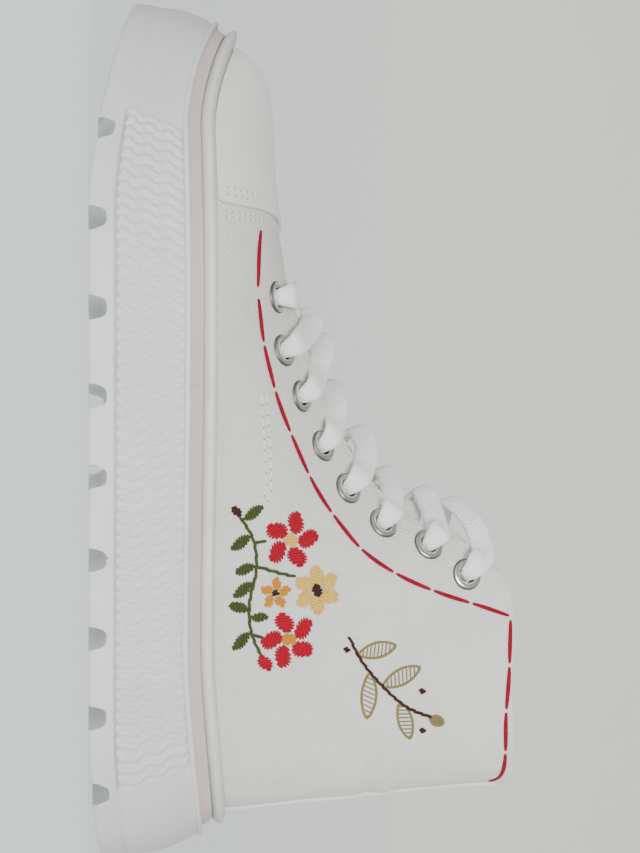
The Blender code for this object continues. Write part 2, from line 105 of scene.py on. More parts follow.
# %% The ribs of the last, in mm
Rib = namedtuple("Rib", "name outer_x outer_y inner_x inner_y crown_x crown_y half crown_z slope rise reach")
LAST = [
    Rib("toe_tip", -132.0, 5.0, -132.0, 5.0, -113.5, 4.0, 0.0, 59.8, 4, 15, 10),
    Rib("toe_corner", -123.0, -16.0, -124.0, 24.0, -107.0, 3.5, 0.0, 60.6, 5, 16, 13),
    Rib("toe_side", -105.0, -29.0, -107.0, 35.5, -96.0, 3.0, 0.0, 61.1, 6, 17, 17),
    Rib("cap_end", -82.0, -38.0, -86.0, 42.5, -80.0, 2.0, 0.0, 61.6, 7, 18, 20),
    Rib("ball", -58.0, -43.0, -62.0, 45.0, -65.0, 1.0, 0.0, 63.8, 9, 18, 22),
    Rib("vamp", -39.0, -44.0, -43.0, 44.0, -55.0, 0.0, 0.0, 65.4, 12, 19, 22),
    Rib("throat_low", -12.0, -43.0, -14.0, 38.5, -32.0, 0.0, 13.0, 69.2, 32, 22, 18),
    Rib("throat_mid", 15.0, -39.5, 13.0, 33.0, 0.0, 0.0, 12.5, 82.0, 45, 28, 24),
    Rib("throat_high", 40.0, -36.0, 38.0, 30.0, 25.0, 0.0, 14.5, 101.0, 56, 34, 30),
    Rib("throat_top", 58.0, -34.0, 57.0, 29.5, 39.5, 0.0, 17.0, 128.0, 70, 40, 36),
    Rib("collar_front", 73.0, -33.0, 72.0, 30.5, 55.0, 0.0, 22.0, 139.5, 84, 42, 40),
    Rib("collar_side", 95.0, -31.0, 94.0, 30.5, 86.0, 0.0, 31.0, 136.0, 90, 40, 40),
    Rib("heel_quarter", 116.5, -21.0, 116.5, 21.5, 114.0, 0.0, 22.5, 139.5, 91, 40, 40),
    Rib("heel_back", 125.5, 0.5, 125.5, 0.5, 123.8, 0.5, 0.0, 142.0, 92, 40, 40),
]
HEEL_ROW = len(LAST) - 1
LOOP = 2 * HEEL_ROW
VAMP_ROW = 5
WALL = 2.0
CUP_DEPTH = 3.0
CLEAR = 0.4
RIDGE_EASE = 0.5


def loop_rows():
    """The ribs round the shoe: toe, outer side, heel, inner side. The ridge ahead of the throat is eased."""
    rows = []
    for place in range(LOOP):
        inner = place > HEEL_ROW
        row = LOOP - place if inner else place
        rib = LAST[row]
        foot = (rib.inner_x, rib.inner_y) if inner else (rib.outer_x, rib.outer_y)
        slope = rib.slope * RIDGE_EASE if row <= VAMP_ROW else rib.slope
        half = rib.half if inner else -rib.half
        rows.append((*foot, rib.crown_x, rib.crown_y, half, rib.crown_z, slope, rib.rise, rib.reach))
    return np.array(rows)


ROWS = loop_rows()
print("ribs round the shoe:", len(ROWS))

# %% [markdown]
# The curve between ribs is a closed cubic through them. `place` counts ribs round the shoe, `up` runs from
# the feather line to the crown. All the functions take whole arrays, because numpy then does the loops.
# Tread and lip are level in the middle and lift toward both ends; a run below zero counts toward the toe.

# %% Smooth form of the last
Lift = namedtuple("Lift", "height start run power")
TOE_TREAD = Lift(16.0, -64.0, -79.0, 1.6)
HEEL_TREAD = Lift(5.0, 85.0, 54.0, 1.8)
TOE_DECK = Lift(15.0, -92.0, -48.0, 1.6)
HEEL_DECK = Lift(7.7, 62.0, 73.0, 1.6)
TOE_FLARE = Lift(1.5, -100.0, -36.0, 1.5)
HEEL_FLARE = Lift(4.0, 85.0, 45.0, 1.5)
DECK_HEIGHT = 29.0
PLACE_STEP = 0.02
UP_STEP = 0.01


def row_of(place):
    """Place counted in ribs from the toe, whichever side it is on."""
    return np.minimum(place % LOOP, LOOP - place % LOOP)


def on_ridge(place):
    """True ahead of the throat, where the two sides meet at the crown."""
    return row_of(place) <= VAMP_ROW + 1e-9


def ribs_plain(place):
    """Rib numbers at any place, by a closed cubic through the rows."""
    start = np.floor(place).astype(int)
    part = (place - start)[..., None]
    return cubic(*(ROWS[(start + step) % LOOP] for step in (-1, 0, 1, 2)), part)


def ribs(place):
    """The same, with the crowns of the two sides joined on the ridge ahead of the throat."""
    values = ribs_plain(place)
    mirror = ribs_plain((LOOP - place) % LOOP)
    joined = values.copy()
    joined[..., 2:6] = 0.5 * (values[..., 2:6] + mirror[..., 2:6])
    joined[..., 4] = 0.0
    return np.where(on_ridge(place)[..., None], joined, values)


def outward(place):
    """Level direction square to the feather line, away from the foot."""
    along = unit(ribs_plain(place + PLACE_STEP)[..., :2] - ribs_plain(place - PLACE_STEP)[..., :2])
    return np.stack((along[..., 1], -along[..., 0]), axis=-1)


def lifted_past(x, lift, most=np.inf):
    """Smooth rise in mm past the start of a lift, up to a share of its run."""
    share = np.maximum(0.0, (x - lift.start) / lift.run)
    return lift.height * np.minimum(most, share) ** lift.power


def tread(x):
    """Height of the tread."""
    return lifted_past(x, TOE_TREAD) + lifted_past(x, HEEL_TREAD)


def deck(x):
    """Height of the sole's upper lip along the shoe."""
    return DECK_HEIGHT + lifted_past(x, TOE_DECK) + lifted_past(x, HEEL_DECK)


def flare(x):
    """Extra spread of the sole at toe and heel."""
    return lifted_past(x, TOE_FLARE, 1.0) + lifted_past(x, HEEL_FLARE, 1.0)


def last_points(place, up):
    """Points on the last, in mm before the shoe is centred."""
    x, y, crown_x, crown_y, half, crown_z, slope, rise, reach = np.moveaxis(ribs(place), -1, 0)
    out = outward(place)
    fall = np.radians(slope)
    foot = np.stack((x, y, deck(x) - CUP_DEPTH + CLEAR), axis=-1)
    crown = np.stack((crown_x, crown_y + half, crown_z), axis=-1)
    low = foot + np.stack((0 * rise, 0 * rise, rise), axis=-1)
    pull = np.stack((out[..., 0] * np.cos(fall), out[..., 1] * np.cos(fall), -np.sin(fall)), axis=-1)
    return bend(foot, low, crown + reach[..., None] * pull, crown, np.asarray(up)[..., None])


feather = ribs_plain(np.linspace(0, LOOP, 1041))[:, :2]
box_low, box_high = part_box("upper")
box_middle = np.array(((box_low.x + box_high.x) / 2, (box_low.y + box_high.y) / 2)) / MM
CENTRE = np.append(box_middle - (feather.min(axis=0) + feather.max(axis=0)) / 2, 0.0)
print("the packed model is centred by", np.round(CENTRE, 2), "mm")

# %% [markdown]
# ## Creases
# Worn canvas bends in a few known places: across the ball, round the ankle, above the heel tape. Cloth
# simulation would wander, so each crease is given in the shoe's own sizes, as a soft trough with
# a ridge beside it. Every piece that lies on the cloth asks for the same relief, so nothing floats or
# sinks.

# %% Creases, in mm seen from the side
Crease = namedtuple("Crease", "name side x1 z1 x2 z2 width depth")
CREASES = [
    Crease("heel fold", -1, 109.0, 90.8, 122.0, 91.8, 2.6, 1.6),
    Crease("heel hollow", -1, 96.0, 76.0, 114.0, 68.0, 11.0, 0.7),
    Crease("ankle bend", -1, 52.0, 98.0, 74.0, 74.0, 12.0, 0.7),
    Crease("collar dip", -1, 78.0, 128.0, 104.0, 122.0, 10.0, 0.6),
    Crease("quarter slack", -1, 20.0, 44.0, 44.0, 62.0, 9.0, 0.5),
    Crease("seam pucker", -1, -10.0, 55.0, 20.0, 56.0, 4.0, 0.35),
    Crease("ball flex", -1, -46.0, 38.0, -36.0, 55.0, 6.0, 0.5),
    Crease("second flex", -1, -30.0, 40.0, -24.0, 56.0, 5.0, 0.35),
    Crease("ball flex", 1, -50.0, 38.0, -38.0, 56.0, 6.0, 0.6),
    Crease("ankle bend", 1, 46.0, 96.0, 70.0, 70.0, 12.0, 0.8),
    Crease("heel fold", 1, 100.0, 84.0, 120.0, 88.0, 5.0, 0.9),
    Crease("collar dip", 1, 76.0, 126.0, 106.0, 120.0, 11.0, 0.7),
]
CREASE_FADE = 0.8
RIDGE_HEIGHT, RIDGE_AWAY = 0.7, 1.7
MIDDLE_CLEAR = 3.0
NEAR_CROWN = 0.985


def creases(points):
    """Relief in mm at points of the last: troughs below, a lower ridge at each trough's upper side."""
    relief = np.zeros(points.shape[:-1])
    x, y, z = np.moveaxis(points + CENTRE, -1, 0)
    for crease in CREASES:
        start = np.array((crease.x1, crease.z1))
        run = np.array((crease.x2, crease.z2)) - start
        length = np.linalg.norm(run)
        run = run / length
        along = (x - start[0]) * run[0] + (z - start[1]) * run[1]
        aside = (z - start[1]) * run[0] - (x - start[0]) * run[1]
        beyond = np.maximum(0.0, np.abs(along - length / 2) - length / 2)
        fade = np.exp(-(beyond / (CREASE_FADE * crease.width)) ** 2) * (y * crease.side > MIDDLE_CLEAR)
        trough = np.exp(-(aside / crease.width) ** 2)
        ridge = RIDGE_HEIGHT * np.exp(-((aside - RIDGE_AWAY * crease.width) / crease.width) ** 2)
        relief += crease.depth * fade * (ridge - trough)
    return relief


def square_to(place, up):
    """Directions square to the last, away from the foot."""
    around = last_points(place + PLACE_STEP, up) - last_points(place - PLACE_STEP, up)
    above = last_points(place, np.minimum(1.0, up + UP_STEP))
    return unit(np.cross(around, above - last_points(place, np.maximum(0.0, up - UP_STEP))))


def crown_inset(place, steps=60):
    """Length of cloth from the crown down each rib, for evenly spaced values of up."""
    ups = np.linspace(1.0, 0.0, steps + 1)
    points = last_points(place[:, None] + 0 * ups, ups[None, :] + 0 * place[:, None])
    lengths = np.linalg.norm(np.diff(points, axis=1), axis=2)
    return ups, np.concatenate((np.zeros((len(place), 1)), np.cumsum(lengths, axis=1)), axis=1)


def up_below_crown(place, distance):
    """Where each rib is a set length of cloth below its crown."""
    place = np.atleast_1d(np.asarray(place, float))
    ups, gone = crown_inset(place)
    wanted = np.broadcast_to(distance, place.shape)
    return np.array([np.interp(want, row, ups) for want, row in zip(wanted, gone)])


def skin(place, up, out=0.0):
    """Points in metres, a set distance outside the creased last."""
    place, up, out = np.broadcast_arrays(*(np.asarray(values, float) for values in (place, up, out)))
    points = last_points(place, up)
    square = square_to(place, np.minimum(up, NEAR_CROWN))
    joined = square + square_to(LOOP - place, np.minimum(up, NEAR_CROWN))
    square = unit(np.where(((up > 0.999) & on_ridge(place))[..., None], joined, square))
    return (points + CENTRE + (out + creases(points))[..., None] * square) * MM


print("creases placed:", len(CREASES))

# %% [markdown]
# ## From a flat grid to a piece
# Cloth is cut flat and pulled over the last. The helper below does the same: it makes a flat grid with
# `create_grid`, moves each corner to its place, and keeps a UV map in true millimetres, so that a weave
# has one thread spacing all over the shoe.

# %% Pull, sew and turn a sheet
SEW = 0.02
SLIVER = 0.002


def pulled_grid(columns, rows, pull, colour_row=None):
    """A grid of squares with each corner pulled to its place; pull gets shares across and up, 0 to 1."""
    shape = bmesh.new()
    cut = shape.loops.layers.uv.new("cut")
    bmesh.ops.create_grid(shape, x_segments=columns, y_segments=rows, size=0.5)
    shape.verts.index_update()
    flat = np.array([vert.co for vert in shape.verts])[:, :2]
    shares = (flat - flat.min(axis=0)) / np.ptp(flat, axis=0)
    across, up = np.rint(shares * (columns, rows)).astype(int).T
    points = pull(shares[:, 0], shares[:, 1])
    net = np.zeros((columns + 1, rows + 1, 3))
    net[across, up] = points
    run = run_along(net[:, rows // 2]) / MM
    climb = np.cumsum(np.linalg.norm(np.diff(net, axis=1), axis=2), axis=1) / MM
    climb = np.concatenate((np.zeros((columns + 1, 1)), climb), axis=1)
    for vert, point in zip(shape.verts, points):
        vert.co = point
    for face in shape.faces:
        corners = [loop.vert.index for loop in face.loops]
        for loop, corner in zip(face.loops, corners):
            loop[cut].uv = (run[across[corner]], climb[across[corner], up[corner]])
        if colour_row:
            face.material_index = colour_row(min(up[corners]))
    return shape


def join_shapes(shape, *others):
    """Adds other shapes to the first and sews what touches."""
    for other in others:
        carrier = bpy.data.meshes.new("carrier")
        other.to_mesh(carrier)
        other.free()
        shape.from_mesh(carrier)
        bpy.data.meshes.remove(carrier)
    bmesh.ops.remove_doubles(shape, verts=shape.verts, dist=SEW * MM)
    bmesh.ops.dissolve_degenerate(shape, edges=shape.edges, dist=SLIVER * MM)
    return shape


def face_outward(shape, middle):
    """Turns a sheet's faces away from a point inside the shoe."""
    middle = Vector(middle) * MM
    facing = [face.normal.dot(face.calc_center_median() - middle) * face.calc_area() for face in shape.faces]
    if sum(facing) < 0:
        bmesh.ops.reverse_faces(shape, faces=shape.faces)
    return shape


# %% Finish a piece


def add_object(name, data):
    """Puts a new object in the scene."""
    thing = bpy.data.objects.new(name, data)
    bpy.context.scene.collection.objects.link(thing)
    return thing


def ride_along(name, mesh):
    """Puts a mesh in the scene as a smooth piece that rides on the shoe."""
    mesh.shade_smooth()
    piece = add_object(name, mesh)
    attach(piece, "root")
    return piece


def finish_piece(name, shape, materials, sharp=None):
    """Turns a bmesh into a piece; edges bent by more than the sharp angle stay hard."""
    mesh = bpy.data.meshes.new(name)
    shape.to_mesh(mesh)
    shape.free()
    for material in materials:
        mesh.materials.append(material)
    piece = ride_along(name, mesh)
    if sharp:
        mesh.set_sharp_from_angle(angle=math.radians(sharp))
    print(name, "has", len(mesh.polygons), "faces")
    return piece


def give_wall(piece, thickness, share, bevel):
    """Thickens a sheet and rounds its cut edges; share 1 grows outward, -1 inward."""
    wall = piece.modifiers.new("wall", "SOLIDIFY")
    wall.thickness = thickness * MM
    wall.offset = share
    wall.use_even_offset = True
    wall.thickness_clamp = 0.5
    wall.material_offset = 1 if len(piece.data.materials) > 1 else 0
    edge = piece.modifiers.new("rounded edge", "BEVEL")
    edge.width = bevel * MM
    edge.segments = 2
    edge.limit_method = "ANGLE"
    edge.angle_limit = math.radians(60)
    return edge


# %% Lay threads on the canvas


def lay_threads(name, strands, radius, material, blunt=0.55):
    """Many threads in one mesh on the canvas: each strand is a list of points, thinner at its two ends."""
    line = bpy.data.curves.new(name, "CURVE")
    line.dimensions = "3D"
    line.bevel_depth = radius * MM
    line.bevel_resolution = 1
    line.use_fill_caps = True
    for strand in strands:
        strand = np.asarray(strand)
        spline = line.splines.new("POLY")
        spline.points.add(len(strand) - 1)
        spline.points.foreach_set("co", np.column_stack((strand, np.ones(len(strand)))).ravel())
        ends = np.ones(len(strand))
        ends[[0, -1]] = blunt
        spline.points.foreach_set("radius", ends)
    holder = add_object(name + "_line", line)
    mesh = bpy.data.meshes.new_from_object(holder.evaluated_get(bpy.context.evaluated_depsgraph_get()))
    bpy.data.objects.remove(holder)
    mesh.name = name
    mesh.materials.clear()
    mesh.materials.append(material)
    ride_along(name, mesh)
    print(name, "has", len(strands), "threads and", len(mesh.polygons), "faces")


# %% [markdown]
# ## Finishes
# Each material starts from what the real one is. Colours are written as sRGB hex values, as a paint card
# gives them, and one function turns them linear. One more adds a node with its settings and links.

# %% Colour and node helpers


def hex_colour(text):
    """An sRGB hex value as linear red, green, blue and alpha."""
    channels = [int(text[at:at + 2], 16) / 255 for at in (1, 3, 5)]
    linear = [c / 12.92 if c <= 0.04045 else ((c + 0.055) / 1.055) ** 2.4 for c in channels]
    return (*linear, 1.0)


def add_node(tree, kind, values=None, links=None, **settings):
    """Adds a node, sets its properties and input values, and links its inputs."""
    node = tree.nodes.new(kind)
    for name, value in settings.items():
        setattr(node, name, value)
    for socket, value in (values or {}).items():
        node.inputs[socket].default_value = value
    for socket, source in (links or {}).items():
        tree.links.new(source, node.inputs[socket])
    return node


def calc(tree, operation, *inputs):
    """A maths node; each input is a number or the output of another node."""
    values = {at: value for at, value in enumerate(inputs) if isinstance(value, float)}
    links = {at: value for at, value in enumerate(inputs) if at not in values}
    return add_node(tree, "ShaderNodeMath", values, links, operation=operation).outputs[0]


def noise(tree, vector, size, detail):
    """Noise in patches of a real size in mm."""
    return add_node(tree, "ShaderNodeTexNoise", {"Scale": 1.0 / size, "Detail": detail}, {"Vector": vector})


def new_finish(name, roughness, metallic=0.0, **sockets):
    """A material with its Principled shader; returns material, tree and shader."""
    material = bpy.data.materials.new(name)
    material.use_nodes = True
    tree = material.node_tree
    shader = tree.nodes["Principled BSDF"]
    shader.inputs["Roughness"].default_value = roughness
    shader.inputs["Metallic"].default_value = metallic
    for socket, value in sockets.items():
        shader.inputs[socket.replace("_", " ")].default_value = value
    return material, tree, shader


def mottle(tree, shader, light, dark, size, vector):
    """Uneven colour between two shades, in patches of a real size in mm."""
    patches = noise(tree, vector, size, 4.0)
    shades = add_node(tree, "ShaderNodeValToRGB", links={"Fac": patches.outputs["Fac"]})
    for element, position, shade in zip(shades.color_ramp.elements, (0.35, 0.65), (dark, light)):
        element.position = position
        element.color = hex_colour(shade)
    tree.links.new(shades.outputs["Color"], shader.inputs["Base Color"])
    return shades.outputs["Color"]


def relief(tree, shader, height, depth, strength):
    """Fine bumps on a finish, with their depth in mm."""
    bump = add_node(tree, "ShaderNodeBump", {"Strength": strength, "Distance": depth * MM},
                    {"Height": height})
    tree.links.new(bump.outputs["Normal"], shader.inputs["Normal"])


def in_mm(tree):
    """Object coordinates in millimetres."""
    place = add_node(tree, "ShaderNodeTexCoord").outputs["Object"]
    return add_node(tree, "ShaderNodeMapping", {"Scale": (1 / MM,) * 3}, {"Vector": place}).outputs["Vector"]


# %% [markdown]
# ### Cotton duck
# The upper is bleached cotton canvas in a plain weave. What the eye gets is a dull, slightly warm white
# with a fine grid of threads. Real threads are 0.5 mm apart; at this picture's size that would blur away,
# so they are drawn 0.75 mm apart, each showing for 1.3 mm before it dives. Two crossed sine waves give the
# over-and-under, and slow noise gives slubs.

# %% Woven cloth finish
FLOAT = 1.75
SLUB_SIZE = 1 / 0.35
FIBRE_SIZE = 1 / 3.0
CLOTH_PATCH = 14.0


def woven(name, light, dark, thread, depth):
    """Plain-weave cloth on the piece's own UV map in mm."""
    material, tree, shader = new_finish(name, 0.9, Sheen_Weight=0.12, Sheen_Roughness=0.5)
    cut = add_node(tree, "ShaderNodeUVMap", uv_map="cut").outputs["UV"]
    slub = noise(tree, cut, SLUB_SIZE, 3.0)
    shift = add_node(tree, "ShaderNodeVectorMath", {1: (0.5, 0.5, 0.5)}, {0: slub.outputs["Color"]},
                     operation="SUBTRACT")
    drift = add_node(tree, "ShaderNodeVectorMath", {"Scale": 0.5}, {0: shift.outputs["Vector"]},
                     operation="SCALE")
    moved = add_node(tree, "ShaderNodeVectorMath", links={0: cut, 1: drift.outputs["Vector"]})
    turn = add_node(tree, "ShaderNodeVectorMath", {1: (math.pi / thread, math.pi / (FLOAT * thread), 0.0)},
                    {0: moved.outputs["Vector"]}, operation="MULTIPLY")
    axes = add_node(tree, "ShaderNodeSeparateXYZ", links={"Vector": turn.outputs["Vector"]})
    warp = calc(tree, "SINE", axes.outputs["X"])
    weft = calc(tree, "SINE", axes.outputs["Y"])
    weave = calc(tree, "MULTIPLY", warp, weft)
    fibre = noise(tree, cut, FIBRE_SIZE, 2.0)
    height = calc(tree, "MULTIPLY_ADD", fibre.outputs["Fac"], 0.6, weave)
    relief(tree, shader, height, depth, 1.0)
    mottle(tree, shader, light, dark, CLOTH_PATCH, cut)
    return material


CANVAS = woven("bleached cotton duck", "#e4e2dd", "#dedcd5", 0.75, 0.12)
LINING = woven("unbleached cotton lining", "#e4e1d8", "#dcd8cd", 0.7, 0.08)
TAPE = woven("cotton heel tape", "#e5e3de", "#dfddd7", 0.7, 0.10)
LACE = woven("flat braided cotton", "#fcfcfa", "#f4f3f0", 0.8, 0.10)
print("woven finishes made:", len(bpy.data.materials))

# %% [markdown]
# ### Rubber, leather, metal and thread
# The sole is moulded white rubber: smooth and half matt, with painted shade that greys it toward toe and
# heel, where the light falls off. The band above it is glued-on tape, a little pink, and darker with painted
# shade from the roll above it. The toe cap is coated leather, flatter and glossier than the cloth. The
# eyelets are nickel-plated brass with painted shade along their edges, and the threads are cotton.

# %% Other finishes
# Painted shade: toward toe and heel the rubber darkens, by a power of its distance from the middle over
# SHOE_HALF mm.
SHOE_HALF = 140.0
END_SHADE_POWER = 3.0


def rubber(name, light, dark, roughness, end_shade=None):
    """Moulded rubber: even colour, a faint pebble of 0.6 mm, and painted shade toward toe and heel, where
    the light falls off.
    """
    material, tree, shader = new_finish(name, roughness, IOR=1.5)
    place = in_mm(tree)
    shades = mottle(tree, shader, light, dark, 25.0, place)
    # Painted shade: the colour mixes toward the darker end colour with distance from the middle of the shoe.
    if end_shade:
        axes = add_node(tree, "ShaderNodeSeparateXYZ", links={"Vector": place})
        share = calc(tree, "DIVIDE", calc(tree, "ABSOLUTE", axes.outputs["X"]), SHOE_HALF)
        mixed = add_node(tree, "ShaderNodeMixRGB", {"Color2": hex_colour(end_shade)},
                         {"Fac": calc(tree, "POWER", share, END_SHADE_POWER), "Color1": shades})
        tree.links.new(mixed.outputs["Color"], shader.inputs["Base Color"])
    relief(tree, shader, noise(tree, place, 0.6, 2.0).outputs["Fac"], 0.03, 0.5)
    return material


def coated_leather(name, light, dark):
    """Leather under a thin white coat: fine closed grain of 0.5 mm and a soft gloss."""
    material, tree, shader = new_finish(name, 0.42, Coat_Weight=0.15, Coat_Roughness=0.3)
    place = in_mm(tree)
    mottle(tree, shader, light, dark, 18.0, place)
    grain = add_node(tree, "ShaderNodeTexVoronoi", {"Scale": 1.0 / 0.5}, {"Vector": place})
    relief(tree, shader, grain.outputs["Distance"], 0.04, 0.35)
    return material


def plated_metal(name, light, dark, roughness):
    """Nickel plate over stamped brass: bright, with faint draw marks of about 1 mm."""
    material, tree, shader = new_finish(name, roughness, 1.0)
    mottle(tree, shader, light, dark, 1.2, in_mm(tree))
    return material


def floss(name, light, dark, strand=0.35, roughness=0.7):
    """Stranded cotton: two close shades in streaks as wide as one strand, with a soft sheen."""
    material, tree, shader = new_finish(name, roughness, Sheen_Weight=0.05, Specular_IOR_Level=0.15)
    mottle(tree, shader, light, dark, strand, in_mm(tree))
    return material


# The last colour given to the sole and the roll is painted shade for their darker toe and heel.
SOLE_RUBBER = rubber("moulded white rubber", "#e6e6e4", "#e1e1df", 0.5, "#c6c6c4")
# The band's colour is partly the tape's own pink and partly painted shade, darker for the shade under the
# roll.
BAND_RUBBER = rubber("glued rubber tape", "#cfc3be", "#c8bcb7", 0.6)
ROLL_RUBBER = rubber("white foxing rubber", "#e8e7e2", "#e2e1dc", 0.45, "#c6c4c1")
CAP_LEATHER = coated_leather("white coated leather", "#f0efea", "#ebeae5")
NICKEL = plated_metal("nickel plate", "#e6e6e2", "#d6d5d1", 0.24)
# The darker nickel is painted shade for the dark lines along the rings' edges.
SHADED_NICKEL_EDGE = plated_metal("nickel edge with painted shade", "#7f7e7a", "#6c6b67", 0.45)
WHITE_THREAD = floss("white sewing cotton", "#fbfaf7", "#ecebe6", 0.3, 0.8)
print("finishes made:", len(bpy.data.materials))

# %% [markdown]
# ## The sole
# A platform sole is moulded in one piece: lugs at the foot, a ribbed wall, a thin lip, a set-back band and
# a cup that takes the upper. It could be cut from a block with Booleans. Here its side is one long strip,
# a row for each step, wrapped round the foot, so ribs and notches are just relief in that strip. Each row
# of the tables gives height, distance out and share of the flare. Lugs count their height from the tread,
# and lip, band and cup from the deck.

# %% Side profile of the sole, in mm
Step = namedtuple("Step", "height out flare")
LUGS = np.array([
    (0.0, 7.4, 1.0), (0.15, 8.3, 1.0), (0.6, 9.0, 1.0), (1.4, 9.3, 1.0), (2.6, 9.3, 0.99), (3.8, 9.25, 0.98),
    (5.0, 9.15, 0.97), (6.2, 9.05, 0.96), (7.0, 8.95, 0.95), (7.25, 8.92, 0.94), (7.35, 8.9, 0.93),
    (7.6, 8.85, 0.92), (7.85, 8.75, 0.91),
])
RECESS = (0.15, 0.9, 1.45, 1.15)
PANEL_FOOT = Step(7.95, 8.7, 0.9)
PANEL_HEAD = Step(-1.9, 5.4, 0.55)
PANEL_ROWS = 26
PANEL_SET_BACK = 0.35
LIP = [(-1.75, 5.5, 0.5), (-1.5, 6.1, 0.5), (-1.0, 6.3, 0.5), (-0.4, 6.2, 0.5), (0.0, 5.8, 0.5),
       (0.15, 5.0, 0.35)]
BAND = [(0.2, 4.25, 0.2), (1.2, 4.05, 0.18), (2.4, 3.6, 0.15), (3.4, 3.1, 0.12), (3.8, 2.8, 0.1)]
CUP = [(3.9, 2.6, 0.0), (3.9, CLEAR, 0.0), (-CUP_DEPTH, CLEAR, 0.0)]
RIB_PITCH = 3.35
RIB_DEPTH = 1.1
RIB_WAVES = 3.0
RIB_SWAY = 0.75
RIB_FAN = 0.045
RIB_EDGE = 0.035
RIB_ROUND = 0.8
END_BULGE = 1.6
PANEL_TOE, PANEL_HEEL, PANEL_FADE = -93.0, 104.0, 2.5
LUG_GROOVES = np.array((-87.5, -60.7, -35.4, -10.7, 12.1, 36.1, 59.1, 82.5, 105.7))
GROOVE_DEPTH, GROOVE_MOUTH, GROOVE_ROUND = 5.2, 6.8, 3.5
JOINT_X, JOINT_WIDTH, JOINT_DEPTH = -14.0, 0.4, 0.35
SIDE_COLUMNS = 1360
TREAD_ROWS = 10


def groove(x):
    """Height cut away by the lug grooves above the tread, at each x; their roots are rounded."""
    away = np.min(np.abs(x[..., None] - LUG_GROOVES), axis=-1)
    return GROOVE_DEPTH * np.sqrt(1.0 - np.clip(2 * away / GROOVE_MOUTH, 0.0, 1.0) ** GROOVE_ROUND)


def panel_share(x):
    """One along the ribbed panel, fading to nothing past its two ends."""
    return np.clip((x - PANEL_TOE) / PANEL_FADE, 0, 1) * np.clip((PANEL_HEEL - x) / PANEL_FADE, 0, 1)


def side_points(place, base, height, out, share):
    """Points on the sole's side, in mm before centring; base is the function that heights count from."""
    foot = ribs_plain(place)[..., :2]
    spread = out + share * flare(foot[..., 0])
    flat = foot + outward(place) * spread[..., None]
    level = base(flat[..., 0]) + height
    return np.concatenate((flat, level[..., None]), axis=-1)


LOOP_PLACES = np.linspace(0, LOOP, 4001)
LOOP_RUN = run_along(ribs_plain(LOOP_PLACES)[:, :2])
HALF_RUN = np.linspace(0, np.interp(HEEL_ROW, LOOP_PLACES, LOOP_RUN), SIDE_COLUMNS // 2 + 1)
HALF_PLACES = np.interp(HALF_RUN, LOOP_RUN, LOOP_PLACES)
SIDE_PLACES = np.concatenate((HALF_PLACES, LOOP - HALF_PLACES[-2::-1]))
print("feather line round the foot:", round(LOOP_RUN[-1]), "mm")

# %% Lugs, ribbed wall and rim
RECESS_ROWS = np.append(np.zeros(len(LUGS) - len(RECESS)), RECESS)
RIM = np.array(LIP + BAND + CUP)
PANEL_FIRST = len(LUGS)
RIM_FIRST = PANEL_FIRST + PANEL_ROWS + 1
BAND_FIRST = RIM_FIRST + len(LIP) - 1
BAND_LAST = BAND_FIRST + len(BAND)
SIDE_ROWS = RIM_FIRST + len(RIM) - 1


def lug_points(place, height):
    """Points on the lugs' side at a height above the tread, pushed up where a groove is cut."""
    heights, outs, flares = LUGS.T
    plain = side_points(place, tread, height, np.interp(height, heights, outs), 1.0)
    lifted = np.maximum(height, groove(plain[..., 0]))
    recess = np.interp(lifted, heights, RECESS_ROWS) * panel_share(ribs_plain(place)[..., 0])
    out = np.interp(lifted, heights, outs) - recess
    return side_points(place, tread, lifted, out, np.interp(lifted, heights, flares))


def panel_points(place, climb):
    """Points on the ribbed wall; climb runs 0 to 1 up it. Each rib sways and leans to the shoe's middle."""
    x = ribs_plain(place)[..., 0]
    fan = RIB_FAN * climb * x
    edges = np.clip(climb / RIB_EDGE, 0, 1) * np.clip((1 - climb) / RIB_EDGE, 0, 1)
    run = np.interp(place, LOOP_PLACES, LOOP_RUN) + np.where(place < HEEL_ROW, fan, -fan)
    run = run + RIB_SWAY * np.sin(2 * np.pi * RIB_WAVES * climb)
    ridge = (0.5 + 0.5 * np.cos(2 * np.pi * run / RIB_PITCH)) ** RIB_ROUND
    swell = 4 * climb * (1 - climb) * END_BULGE * np.minimum(1.0, flare(x) / TOE_FLARE.height)
    out = (RIB_DEPTH * ridge * edges - PANEL_SET_BACK) * panel_share(x + fan) + swell
    foot = side_points(place, tread, PANEL_FOOT.height, PANEL_FOOT.out + out, PANEL_FOOT.flare)
    head = side_points(place, deck, PANEL_HEAD.height, PANEL_HEAD.out + out, PANEL_HEAD.flare)
    return foot + (head - foot) * climb[..., None]


def rim_points(place, height, out, share):
    """Points on lip, band and cup, with the narrow joint where the two ends of the band meet."""
    plain = side_points(place, deck, height, out, share)
    on_band = (plain[..., 1] < 0) * (height > 0.1) * (out > 3.0)
    joint = np.exp(-((plain[..., 0] - JOINT_X) / JOINT_WIDTH) ** 2) * on_band
    return side_points(place, deck, height, out - JOINT_DEPTH * joint, share)


# %% Wrap the side strip, lay tread and cup floor


def pull_side(across, up):
    """Places of the side strip's corners, row by row from tread to cup floor."""
    place = SIDE_PLACES[np.rint(across * SIDE_COLUMNS).astype(int)]
    row = np.rint(up * SIDE_ROWS).astype(int)
    low = lug_points(place, LUGS[np.minimum(row, PANEL_FIRST - 1), 0])
    wall = panel_points(place, np.clip((row - PANEL_FIRST) / PANEL_ROWS, 0.0, 1.0))
    rim = rim_points(place, *RIM[np.clip(row - RIM_FIRST, 0, len(RIM) - 1)].T)
    points = np.where((row < PANEL_FIRST)[:, None], low, np.where((row < RIM_FIRST)[:, None], wall, rim))
    return (points + CENTRE) * MM


